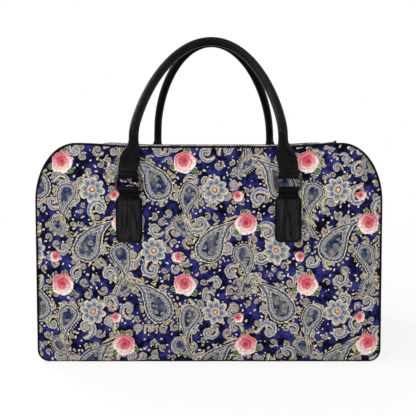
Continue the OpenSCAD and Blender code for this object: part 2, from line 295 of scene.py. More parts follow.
    def wash(self, tree: NodeTree, flat: NodeSocket,
             colour: NodeSocket) -> NodeSocket:
        """Lightens and darkens the inks a little, as watercolour strokes do.

        Args:
            tree: Node tree of the print.
            flat: Place on the cloth in millimetres.
            colour: Colour of all the layers.

        Returns:
            The uneven colour.
        """
        stroke = add(tree, "TexNoise", {"noise_dimensions": "2D"},
                     {"Vector": flat, "Scale": 1 / self.stroke, "Detail": 2.0})
        shade = add(tree, "MapRange", None, {"Value": stroke.outputs[0], "From Min": 0.3, "From Max": 0.7,
                                             "To Min": 0.62, "To Max": 1.12})
        return add(tree, "VectorMath", {"operation": "SCALE"},
                   {0: colour, "Scale": shade.outputs[0]}).outputs[0]

    def drops(self, tree: NodeTree, drawn: NodeSocket,
              colour: NodeSocket) -> NodeSocket:
        """Strews cream drops over the ground, each in its own cell and turned its own way.

        Args:
            tree: Node tree of the print.
            drawn: Place on the cloth in millimetres.
            colour: Colour of the layers below.

        Returns:
            The colour with the drops on it.
        """
        known = self.cell(tree, drawn, self.drop_cell, 0.85)
        lay(tree, known, """
            spin MULTIPLY red 6.283
            cosine COSINE spin
            sine SINE spin
            ax MULTIPLY x cosine
            along MULTIPLY_ADD y sine ax
            ay MULTIPLY y cosine
            back MULTIPLY x -1
            across MULTIPLY_ADD back sine ay
            slim MULTIPLY along 0.62
            square MULTIPLY across across
            sum MULTIPLY_ADD slim slim square
            far SQRT sum
            size MULTIPLY_ADD green 1.0 0.5
            inside LESS_THAN far size
            some GREATER_THAN blue 0.35
            mask MULTIPLY inside some
        """)
        ink = add(tree, "ValToRGB", {"stops": self.DROP}, {0: known["green"]})
        return self.paint(tree, colour, ink.outputs[0], known["mask"])

    def cell(self, tree: NodeTree, drawn: NodeSocket, size: float,
             randomness: float) -> Sockets:
        """Splits the cloth into random cells.

        Args:
            tree: Node tree of the print.
            drawn: Place on the cloth in millimetres.
            size: Width of a cell.
            randomness: How far the cells leave a square grid, from 0 to 1.

        Returns:
            x and y from the middle of the cell, and three random values of the cell.
        """
        cells = add(tree, "TexVoronoi", {"voronoi_dimensions": "2D"},
                    {"Vector": drawn, "Scale": 1 / size, "Randomness": randomness})
        offset = add(tree, "VectorMath", {"operation": "SUBTRACT"}, {0: drawn, 1: cells.outputs["Position"]})
        place = add(tree, "SeparateXYZ", None, {0: offset.outputs[0]}).outputs
        luck = add(tree, "SeparateColor", None, {0: cells.outputs["Color"]}).outputs
        return {"x": place[0], "y": place[1], "red": luck[0], "green": luck[1], "blue": luck[2]}

    def scrolls(self, tree: NodeTree, drawn: NodeSocket, colour: NodeSocket,
                size: float, inks: tuple) -> NodeSocket:
        """Fills random cells with scrolls that wind out of their middle and thin towards their tip.

        Args:
            tree: Node tree of the print.
            drawn: Place on the cloth in millimetres.
            colour: Colour of the layers below.
            size: Width of a cell.
            inks: Colours from the middle of the scroll's band to its outline.

        Returns:
            The colour with the scrolls on it.
        """
        looseness = 0.72
        known = self.cell(tree, drawn, size, looseness)
        room = add(tree, "TexVoronoi", {"voronoi_dimensions": "2D", "feature": "N_SPHERE_RADIUS"},
                   {"Vector": drawn, "Scale": 1 / size, "Randomness": looseness})
        known["room"] = room.outputs["Radius"]
        lay(tree, known, POLAR)
        lay(tree, known, f"""
            reach MULTIPLY room {size}
            r DIVIDE far reach
            side GREATER_THAN green 0.5
            hand MULTIPLY_ADD side 2 -1
            turned MULTIPLY angle hand
            turn MULTIPLY_ADD turned 0.15915 red
            growth LOGARITHM r 2.71828
            wound MULTIPLY_ADD growth 0.62 turn
            phase FRACT wound
            centred SUBTRACT phase 0.5
            off ABSOLUTE centred
            cube POWER r 3.0
            taper MULTIPLY_ADD cube -0.34 0.36
            band DIVIDE off taper
            near LESS_THAN band 1
            inside LESS_THAN r 1
            mask MULTIPLY near inside
            rays MULTIPLY angle 15
            swept MULTIPLY_ADD growth 11 rays
            rib SINE swept
            ribbed GREATER_THAN rib 0.35
            core LESS_THAN band 0.5
            veined MULTIPLY ribbed core
            vein MULTIPLY veined 0.6
        """)
        ink = add(tree, "ValToRGB", {"stops": inks}, {0: known["band"]})
        ribbed = add(tree, "Mix", {"data_type": "RGBA"},
                     {0: known["vein"], 6: ink.outputs[0], 7: linear(self.VEIN)})
        return self.paint(tree, colour, ribbed.outputs[2], known["mask"])

    def local(self, tree: NodeTree, drawn: NodeSocket, stamp: Stamp) -> Sockets:
        """Gives x and y of one ornament's own frame, in which its size is one.

        Args:
            tree: Node tree of the print.
            drawn: Place on the cloth in millimetres.
            stamp: The ornament.

        Returns:
            The sockets of x and y.
        """
        place = add(tree, "SeparateXYZ", None, {0: drawn}).outputs
        known = {"across": place[0], "up": place[1]}
        turn = math.radians(stamp.turn)
        c, s = math.cos(turn) / stamp.size, math.sin(turn) / stamp.size
        lay(tree, known, f"""
            shifted SUBTRACT across {stamp.x - self.column / 2}
            counted DIVIDE shifted {self.column}
            column FLOOR counted
            part FRACT counted
            wide MULTIPLY_ADD part {self.column} {-self.column / 2}
            odd FLOORED_MODULO column 2
            hand MULTIPLY_ADD odd -2 1
            lx MULTIPLY wide hand
            lowered MULTIPLY_ADD odd {self.drop / 2} up
            risen SUBTRACT lowered {stamp.y}
            ly WRAP risen {self.drop / 2} {-self.drop / 2}
            x0 MULTIPLY lx {c}
            x MULTIPLY_ADD ly {s} x0
            y0 MULTIPLY ly {c}
            y MULTIPLY_ADD lx {-s} y0
        """)
        return {"x": known["x"], "y": known["y"]}

    def paisley(self, tree: NodeTree, known: Sockets,
                colour: NodeSocket) -> NodeSocket:
        """Draws a drop with a bent tip, in bands that follow its edge, with a row of beads round it.

        Args:
            tree: Node tree of the print.
            known: Sockets of x and y in the ornament's own frame, and of the colour of its core.
            colour: Colour of the layers below.

        Returns:
            The colour with the ornament on it.
        """
        lay(tree, known, """
            lift ADD y 0.15
            lifted MAXIMUM lift 0
            bow MULTIPLY lifted lifted
            bx MULTIPLY_ADD bow -0.5 x
            low MULTIPLY_ADD y -0.5 0.5
            low0 MAXIMUM low 0
            v MINIMUM low0 1
            vv MULTIPLY v v
            vvv MULTIPLY vv v
            rest SUBTRACT 1 v
            width MULTIPLY vvv rest
            slope MULTIPLY_ADD v -4 3
            bend MULTIPLY vv slope
            g MULTIPLY bend 0.64
            xx MULTIPLY bx bx
            gg MULTIPLY_ADD g g xx
            steep0 ADD gg 0.0004
            steep SQRT steep0
            inner MULTIPLY_ADD width -2.56 xx
            ratio DIVIDE inner steep
            tall ABSOLUTE y
            over SUBTRACT tall 1
            beyond MAXIMUM over 0
            d MULTIPLY_ADD ratio 0.5 beyond
            depth MULTIPLY_ADD d 1.25 1
            core LESS_THAN depth 0.6
            down ADD y 0.35
            angle ARCTAN2 down bx
            many MULTIPLY angle 26
            wave SINE many
            stripe GREATER_THAN wave 0
            body LESS_THAN d 0
            rim SUBTRACT d 0.1
            rimmed ABSOLUTE rim
            ring LESS_THAN rimmed 0.035
            bead GREATER_THAN wave 0.1
            beads MULTIPLY ring bead
            mask MAXIMUM body beads
        """)
        bands = add(tree, "ValToRGB", {"stops": self.BANDS}, {0: known["depth"]})
        hatch = add(tree, "ValToRGB", {"stops": self.HATCH}, {0: known["depth"]})
        for node in (bands, hatch):
            node.color_ramp.interpolation = "CONSTANT"
        ink = self.paint(tree, bands.outputs[0], hatch.outputs[0], known["stripe"])
        ink = self.paint(tree, ink, known["fill"], known["core"])
        return self.paint(tree, colour, ink, known["mask"])

    def rose(self, tree: NodeTree, known: Sockets,
             colour: NodeSocket) -> NodeSocket:
        """Draws a full rose with winding petals, deep red above and pale below, over three leaves.

        Args:
            tree: Node tree of the print.
            known: Sockets of x and y in the ornament's own frame.
            colour: Colour of the layers below.

        Returns:
            The colour with the ornament on it.
        """
        lay(tree, known, POLAR)
        lay(tree, known, """
            five MULTIPLY angle 5
            scallop SINE five
            uneven MULTIPLY_ADD scallop 0.05 1
            r MULTIPLY far uneven
            third WRAP angle 1.0472 -1.0472
            spread SINE third
            aside MULTIPLY far spread
            lateral ABSOLUTE aside
            along MULTIPLY_ADD far 1.45 -1.15
            arch MULTIPLY along 3.14159
            bulge SINE arch
            half0 MULTIPLY bulge 0.3
            half MAXIMUM half0 0.001
            share DIVIDE lateral half
            slim LESS_THAN share 1
            starts GREATER_THAN along 0
            ends LESS_THAN along 1
            span MULTIPLY starts ends
            leaf MULTIPLY span slim
            flower LESS_THAN r 1
            lean MULTIPLY_ADD y -0.34 0.12
            tone MULTIPLY_ADD r 0.62 lean
            wound MULTIPLY_ADD angle -0.15915 0
            petal MULTIPLY_ADD r 2.7 wound
            fold FRACT petal
            crease LESS_THAN fold 0.24
            deep MULTIPLY crease 0.2
            shade SUBTRACT tone deep
        """)
        green = add(tree, "ValToRGB", {"stops": self.LEAF}, {0: known["share"]})
        petals = add(tree, "ValToRGB", {"stops": self.PETALS}, {0: known["shade"]})
        leafy = self.paint(tree, colour, green.outputs[0], known["leaf"])
        return self.paint(tree, leafy, petals.outputs[0], known["flower"])

    def rosette(self, tree: NodeTree, known: Sockets,
                colour: NodeSocket) -> NodeSocket:
        """Draws a round flower of eight veined petals.

        Args:
            tree: Node tree of the print.
            known: Sockets of x and y in the ornament's own frame.
            colour: Colour of the layers below.

        Returns:
            The colour with the ornament on it.
        """
        lay(tree, known, POLAR)
        lay(tree, known, """
            four MULTIPLY angle 4
            wave SINE four
            petal ABSOLUTE wave
            edge MULTIPLY_ADD petal 0.28 0.72
            q DIVIDE far edge
            mask LESS_THAN q 1
            seam LESS_THAN petal 0.2
            outer GREATER_THAN q 0.4
            vein MULTIPLY seam outer
        """)
        bands = add(tree, "ValToRGB", {"stops": self.ROUND}, {0: known["q"]})
        bands.color_ramp.interpolation = "CONSTANT"
        ink = add(tree, "Mix", {"data_type": "RGBA"},
                  {0: known["vein"], 6: bands.outputs[0], 7: linear(self.SEAM)})
        return self.paint(tree, colour, ink.outputs[2], known["mask"])


@dataclass(frozen=True)
class BlackLeather:
    """Embossed black synthetic leather: nearly black, with a soft shine broken up by pores and creases.

    The grain is drawn coarser than the real half millimetre, so that it still shows in a view of the
    whole bag. Where a field is named, only the places that it marks on the piece are worn pale, and the
    rest stays black: painted shade in a tab's neck under its loop, and edge paint with painted shade
    along its rounded rim.
    """

    name: str
    crease: tuple[float, float, float]
    base: str = "#050506"
    worn: str = "#131315"
    grain: float = 1.2
    grain_depth: float = 0.3
    crease_height: float = 1.6
    emboss: float = 0.35
    roughness: float = 0.3
    specular: float = 0.06
    # Name of a field that leaves the leather black where it is zero, as painted shade and edge paint
    rubbed: str = ""

    def material(self) -> Material:
        """Builds the material: pores and creases shape the surface, and ridges are a little paler.

        Returns:
            The material.
        """
        material, tree = blank(self.name)
        place = add(tree, "TexCoord").outputs["Object"]
        flat = add(tree, "VectorMath", {"operation": "SCALE"}, {0: place, "Scale": 1 / MM}).outputs[0]
        pores = add(tree, "TexVoronoi", None, {"Vector": flat, "Scale": 1 / self.grain})
        pulled = add(tree, "Mapping", None, {"Vector": flat, "Scale": [1 / size for size in self.crease]})
        creases = add(tree, "TexNoise", None, {"Vector": pulled.outputs[0], "Scale": 1.0, "Detail": 3.0})
        known = {"wear": creases.outputs[0]}
        # A named field holds the colour at the black base where it is zero: painted shade, and along a rim
        # edge paint as well
        if self.rubbed:
            known["field"] = add(tree, "Attribute", {"attribute_name": self.rubbed}).outputs["Fac"]
            lay(tree, known, "wear MULTIPLY wear field")
        colour = add(tree, "ValToRGB", {"stops": ((0.35, self.base), (0.72, self.worn))},
                     {0: known["wear"]})
        shine = add(tree, "MapRange", None,
                    {"Value": creases.outputs[0], "From Min": 0.3, "From Max": 0.7,
                     "To Min": self.roughness + 0.12, "To Max": self.roughness - 0.06})
        height = add(tree, "Math", {"operation": "MULTIPLY_ADD"},
                     {0: creases.outputs[0], 1: self.crease_height, 2: pores.outputs[0]})
        relief = add(tree, "Bump", None,
                     {"Strength": self.emboss, "Distance": self.grain_depth * MM,
                      "Height": height.outputs[0]})
        shader = add(tree, "BsdfPrincipled", None,
                     {"Base Color": colour.outputs[0], "Roughness": shine.outputs[0],
                      "Normal": relief.outputs[0], "IOR": 1.5, "Specular IOR Level": self.specular})
        add(tree, "OutputMaterial", None, {"Surface": shader.outputs[0]})
        return material


@dataclass(frozen=True)
class Mottled:
    """A hard or spun surface whose colour, shine and height vary a little from place to place.

    The grain is the size of the marks in millimetres, stretched along the axis on which it is longest.
    """

    name: str
    dark: str
    light: str
    grain: tuple[float, float, float]
    roughness: float
    relief: float
    specular: float = 0.2
    metallic: float = 0.0
    grain_depth: float = 0.15

    def material(self) -> Material:
        """Builds the material from one noise that drives colour, shine and height.

        Returns:
            The material.
        """
        material, tree = blank(self.name)
        place = add(tree, "TexCoord").outputs["Object"]
        scaled = add(tree, "Mapping", None,
                     {"Vector": place, "Scale": [1 / (size * MM) for size in self.grain]})
        marks = add(tree, "TexNoise", None, {"Vector": scaled.outputs[0], "Scale": 1.0, "Detail": 3.0})
        colour = add(tree, "ValToRGB", {"stops": ((0.3, self.dark), (0.7, self.light))},
                     {0: marks.outputs[0]})
        shine = add(tree, "MapRange", None,
                    {"Value": marks.outputs[0], "From Min": 0.3, "From Max": 0.7,
                     "To Min": self.roughness + 0.1, "To Max": self.roughness - 0.08})
        bump = add(tree, "Bump", None,
                   {"Strength": self.relief, "Distance": self.grain_depth * MM,
                    "Height": marks.outputs[0]})
        shader = add(tree, "BsdfPrincipled", None,
                     {"Base Color": colour.outputs[0], "Roughness": shine.outputs[0],
                      "Normal": bump.outputs[0], "Specular IOR Level": self.specular,
                      "Metallic": self.metallic})
        add(tree, "OutputMaterial", None, {"Surface": shader.outputs[0]})
        return material


# Zinc alloy cast and plated a dark antique tone: satin, with paler rubbed spots
ANTIQUE_METAL = Mottled("dark_antique_plating", "#2b2825", "#5f5952", (7.0, 7.0, 7.0), 0.2, 0.08, 0.5, 1.0)
# Nylon teeth moulded in black: a dull gloss with faint flow marks
MOULDED_NYLON = Mottled("moulded_black_nylon", "#131315", "#242428", (5.0, 2.0, 2.0), 0.38, 0.1)
# Polyester tape: black ribs across the zip, drawn twice as coarse as the yarn so that they show
WOVEN_TAPE = Mottled("woven_black_tape", "#0d0d0f", "#222226", (0.9, 6.0, 2.0), 0.75, 0.7)
# Bonded polyester thread: black with a faint silky shine
THREAD = Mottled("bonded_black_thread", "#141416", "#2e2e32", (0.8, 0.8, 0.8), 0.5, 0.4)
# Polyethylene sheet pressed with a fine texture
BOARD_SHEET = Mottled("pressed_black_board", "#131314", "#1e1e20", (2.0, 2.0, 2.0), 0.6, 0.3)


@dataclass(frozen=True)
class BagSizes:
    """Sizes that the sub-assemblies share. The frame's boxes give those without a default."""

    piping_r: float
    seam_hw: float
    seam_y: float
    seam_low: float
    seam_top: float
    face_y: float
    gusset_y: float
    zip_x: float
    tab_x: float
    shoulder_w: float = 52 * MM
    shoulder_h: float = 75 * MM
    foot_r: float = 14 * MM
    border: float = 34 * MM
    top_sag: float = 4 * MM
    sag_run: float = 85 * MM
    wall: float = 2 * MM
    tuck: float = 1.7 * MM

    @classmethod
    def from_frame(cls) -> "BagSizes":
        """Reads the shared sizes from the frame.

        Returns:
            The sizes.
        """
        low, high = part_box("front_piping")
        radius = (high.y - low.y) / 2
        tab_low, tab_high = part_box("front_right_tab")
        return cls(piping_r=radius, seam_hw=high.x - radius, seam_y=-(low.y + high.y) / 2,
                   seam_low=low.z + radius, seam_top=high.z - radius, face_y=-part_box("front_panel")[0].y,
                   gusset_y=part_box("right_end_panel")[1].y, zip_x=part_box("front_zip_tape")[1].x,
                   tab_x=(tab_low.x + tab_high.x) / 2)

    @property
    def shoulder_x(self) -> float:
        """Distance from the middle at which the shoulders begin."""
        return self.seam_hw - self.shoulder_w

    @property
    def spring_z(self) -> float:
        """Height at which the sides begin to round into the shoulders."""
        return self.seam_top - self.shoulder_h

    def seam_z(self, x: float) -> float:
        """Gives the height of the upper seam.

        Args:
            x: Distance from the middle of the width.

        Returns:
            The height there.
        """
        d = (abs(x) - self.shoulder_x) / self.shoulder_w
        if d > 0:
            return self.seam_top - self.shoulder_h * (1 - math.sqrt(max(0.0, 1 - d * d)))
        return self.seam_top - self.top_sag * smooth((self.shoulder_x - abs(x)) / self.sag_run)

    def low_z(self, x: float) -> float:
        """Height of the lower seam at the distance x from the middle."""
        d = max(0.0, abs(x) - self.seam_hw + self.foot_r)
        return self.seam_low + self.foot_r - math.sqrt(max(0.0, self.foot_r ** 2 - d * d))

    def inset(self, x: float, z: float) -> float:
        """Distance of a point of the front panel from its seam.

        Args:
            x: Place along the width.
            z: Height.

        Returns:
            The distance, zero on the seam.
        """
        blend = 12 * MM
        side, low, high = self.seam_hw - abs(x), z - self.seam_low, self.seam_z(x) - z
        dx, dz = abs(x) - self.shoulder_x, z - self.spring_z
        if dx > 0 and dz > 0:
            reach = math.hypot(dx, dz)
            share = math.hypot(dx / self.shoulder_w, dz / self.shoulder_h)
            return soft_min(reach / share - reach, low, blend)
        fx, fz = self.foot_r - side, self.foot_r - low
        if fx > 0 and fz > 0:
            return self.foot_r - math.hypot(fx, fz)
        return soft_min(side, soft_min(low, high, blend), blend)

    def seam_path(self, step: float) -> list[Vector]:
        """Gives points along the whole closed seam in X and Z.

        Args:
            step: Distance from point to point.

        Returns:
            The points, from the middle of the base round by the right side.
        """
        half = [Vector((x * MM, 0, self.seam_low))
                for x in range(0, int((self.seam_hw - self.foot_r) / MM), int(step / MM))]
        foot_steps, shoulder_steps = 12, 40
        for i in range(foot_steps):
            a = math.radians(-90 + 90 * i / foot_steps)
            half.append(Vector((self.seam_hw - self.foot_r + self.foot_r * math.cos(a), 0,
                                self.seam_low + self.foot_r + self.foot_r * math.sin(a))))
        count = int((self.spring_z - self.seam_low - self.foot_r) / step)
        for i in range(count):
            half.append(Vector((self.seam_hw, 0, self.seam_low + self.foot_r + i * step)))
        for i in range(shoulder_steps):
            a = math.radians(90 * i / shoulder_steps)
            half.append(Vector((self.shoulder_x + self.shoulder_w * math.cos(a), 0,
                                self.spring_z + self.shoulder_h * math.sin(a))))
        count = int(self.shoulder_x / step)
        for i in range(count):
            x = self.shoulder_x * (1 - i / count)
            half.append(Vector((x, 0, self.seam_z(x))))
        middle = Vector((0, 0, self.seam_z(0)))
        return half + [middle] + [Vector((-p.x, 0, p.z)) for p in reversed(half[1:])]

    def end_point(self, s: float) -> tuple[Vector, Vector]:
        """Follows the outside of the right end, from the base round the foot and up over the shoulder.

        Args:
            s: Share of the way, from 0 to 1.

        Returns:
            The point at the middle of the depth, and the direction that points out of the bag there.
        """
        skirt = self.seam_low
        foot = self.foot_r + skirt
        wide, tall = self.shoulder_w + skirt, self.shoulder_h + skirt
        last = math.acos((self.zip_x - self.shoulder_x) / wide)
        # Foot, straight side and shoulder; the shoulder's oval counts as a circle of its mean radius.
        runs = (foot * math.pi / 2, self.spring_z - self.seam_low - self.foot_r,
                last * math.hypot(wide, tall) / 1.414)
        way = s * sum(runs)
        if way < runs[0]:
            a = -math.pi / 2 + way / foot
            out = Vector((math.cos(a), 0, math.sin(a)))
            return Vector((self.seam_hw - self.foot_r, 0, self.seam_low + self.foot_r)) + foot * out, out
        if way < runs[0] + runs[1]:
            return Vector((self.seam_hw + skirt, 0, foot + way - runs[0])), Vector((1, 0, 0))
        a = last * (way - runs[0] - runs[1]) / runs[2]
        out = Vector((math.cos(a) / wide, 0, math.sin(a) / tall)).normalized()
        return Vector((self.shoulder_x + wide * math.cos(a), 0, self.spring_z + tall * math.sin(a))), out


def make_piece(name: str, shape: BMesh, finish: Material) -> Object:
    """Turns a finished bmesh into a smooth object of the scene.

    Args:
        name: Name of the piece.
        shape: Its faces, which are freed.
        finish: Its material.

    Returns:
        The object, at the origin.
    """
    mesh = bpy.data.meshes.new(name)
    shape.to_mesh(mesh)
    shape.free()
    mesh.shade_smooth()
    mesh.materials.append(finish)
    piece = bpy.data.objects.new(name, mesh)
    bpy.context.scene.collection.objects.link(piece)
    return piece


def hand_over(piece: Object, body: str, slot: str, *nodes: str) -> None:
    """Puts a piece on its body, hides the nodes that it stands for, and reports it.

    Args:
        piece: The finished piece.
        body: Body that it moves with.
        slot: Not used.
        nodes: Nodes of the frame that it takes the place of.
    """
    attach(piece, body)
    if nodes:
        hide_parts(*nodes)
    LOG.info("%s: %d faces on %s", piece.name, len(piece.data.polygons), body)


def cut_cloth(name: str, columns: int, rows: int, place: Place, flat: Place,
              finish: Material) -> Object:
    """Makes one cut of cloth as a grid laid over a surface.

    Args:
        name: Name of the piece.
        columns: Faces along u.
        rows: Faces along v.
        place: Gives the point at u and v, both from -1 to 1.
        flat: Gives the place on the flat cloth there.
        finish: Its material.

    Returns:
        The object, with a vertex group of the points that the seams hold.
    """
    shape = bmesh.new()
    bmesh.ops.create_grid(shape, x_segments=columns, y_segments=rows, size=1.0)
    layer = shape.loops.layers.uv.new(CLOTH_MAP)
    for face in shape.faces:
        for loop in face.loops:
            loop[layer].uv = flat(*loop.vert.co.xy).xy
    for vert in shape.verts:
        vert.co = place(*vert.co.xy)
    held = [vert.index for vert in shape.verts if vert.is_boundary]
    piece = make_piece(name, shape, finish)
    piece.vertex_groups.new(name="seam").add(held, 1.0, "REPLACE")
    return piece


def settle(piece: Object, push: float, cap: float, ease: Callable[[Vector], float]) -> None:
    """Lets a cut of cloth relax between its seams by simulation, and keeps the result in its mesh.

    Args:
        piece: The cut, with its vertex group of held points.
        push: Pressure of the padding from inside.
        cap: Longest way that a point may go.
        ease: Share of its way that a point keeps, by its place.
    """
    cloth = piece.modifiers.new("settle", "CLOTH")
    cloth.settings.quality = 6
    cloth.settings.mass = 0.3
    cloth.settings.tension_stiffness = 30
    cloth.settings.compression_stiffness = 30
    cloth.settings.shear_stiffness = 15
    cloth.settings.bending_stiffness = 4
    cloth.settings.shrink_min = -0.012
    cloth.settings.vertex_group_mass = "seam"
    cloth.settings.use_pressure = True
    cloth.settings.uniform_pressure_force = push
    scene = bpy.context.scene
    for step in range(1, SETTLE_STEPS + 1):
        scene.frame_set(step)
    relaxed = piece.evaluated_get(bpy.context.evaluated_depsgraph_get()).data
    ways = [there.co - here.co for there, here in zip(relaxed.vertices, piece.data.vertices)]
    piece.modifiers.remove(cloth)
    scene.frame_set(1)
    for vert, way in zip(piece.data.vertices, ways):
        vert.co += way * min(1.0, cap / max(way.length, 1e-9)) * ease(vert.co)


def thicken(piece: Object, wall: float) -> None:
    """Gives a cut of cloth its thickness, inwards from the side that shows.

    Args:
        piece: The cut.
        wall: Its thickness.
    """
    solid = piece.modifiers.new("wall", "SOLIDIFY")
    solid.thickness = wall
    solid.offset = -1.0


def grow_rim(shape: BMesh, edges: list[BMEdge]) -> tuple[list[BMVert], list[BMEdge]]:
    """Grows a band of faces from a chain of edges.

    Args:
        shape: bmesh that gets the band.
        edges: The chain.

    Returns:
        The new points, which still lie on the old ones, and the new chain between them.
    """
    grown = bmesh.ops.extrude_edge_only(shape, edges=edges)["geom"]
    points = [part for part in grown if isinstance(part, BMVert)]
    fresh = set(points)
    return points, [part for part in grown if isinstance(part, BMEdge) and fresh.issuperset(part.verts)]


def loft(shape: BMesh, sides: int, stations: list, place: Callable[..., Vector]) -> None:
    """Skins a tube with closed ends over cross-sections that follow one another.

    Args:
        shape: bmesh that gets the tube.
        sides: Points of a cross-section.
        stations: What describes each cross-section.
        place: Gives the point of a station at an angle.
    """
    angle = shape.verts.layers.float.get("angle") or shape.verts.layers.float.new("angle")
    ring = bmesh.ops.create_circle(shape, cap_ends=False, radius=1.0, segments=sides)["verts"]
    edges = list({edge for vert in ring for edge in vert.link_edges})
    ends = [edges]
    for vert in ring:
        vert[angle] = math.atan2(vert.co.y, vert.co.x)
        vert.co = place(stations[0], vert[angle])
    for station in stations[1:]:
        ring, edges = grow_rim(shape, edges)
        for vert in ring:
            vert.co = place(station, vert[angle])
    ends.append(edges)
    for rim in ends:
        bmesh.ops.edgeloop_fill(shape, edges=rim)
    bmesh.ops.recalc_face_normals(shape, faces=shape.faces)


def sleeve(shape: BMesh, centre: Vector, width: float, inner: float, outer: float) -> None:
    """Spins a strip with rounded edges round a bar that lies along X.

    Args:
        shape: bmesh that gets the sleeve.
        centre: Middle of the bar.
        width: Width of the strip along the bar.
        inner: Inner radius.
        outer: Outer radius.
    """
    ring = bmesh.ops.create_circle(shape, cap_ends=False, radius=1.0, segments=20)["verts"]
    for vert in ring:
        # Powers below one turn the circle into a flat strip with rounded edges.
        c, s = vert.co.xy
        across = math.copysign(abs(c) ** 0.3, c) * width / 2
        out = (inner + outer) / 2 + math.copysign(abs(s) ** 0.7, s) * (outer - inner) / 2
        vert.co = centre + Vector((across, 0, out))
    edges = list({edge for vert in ring for edge in vert.link_edges})
    bmesh.ops.spin(shape, geom=ring + edges, cent=centre, axis=(1, 0, 0), angle=2 * math.pi, steps=28,
                   use_merge=True)
    bmesh.ops.recalc_face_normals(shape, faces=shape.faces)


def sew(shape: BMesh, line: list[Vector], gauge: float) -> None:
    """Sews one stitch between every two points of a line.

    Args:
        shape: bmesh that gets the stitches.
        line: Needle holes on the surface.
        gauge: Half the thickness of the thread.
    """
    for start, end in zip(line, line[1:]):
        way = end - start
        turn = way.to_track_quat("X", "Z").to_matrix().to_4x4()
        size = Matrix.Diagonal((0.4 * way.length, gauge, gauge, 1.0))
        bmesh.ops.create_icosphere(shape, subdivisions=1, radius=1.0,
                                   matrix=Matrix.Translation((start + end) / 2) @ turn @ size)


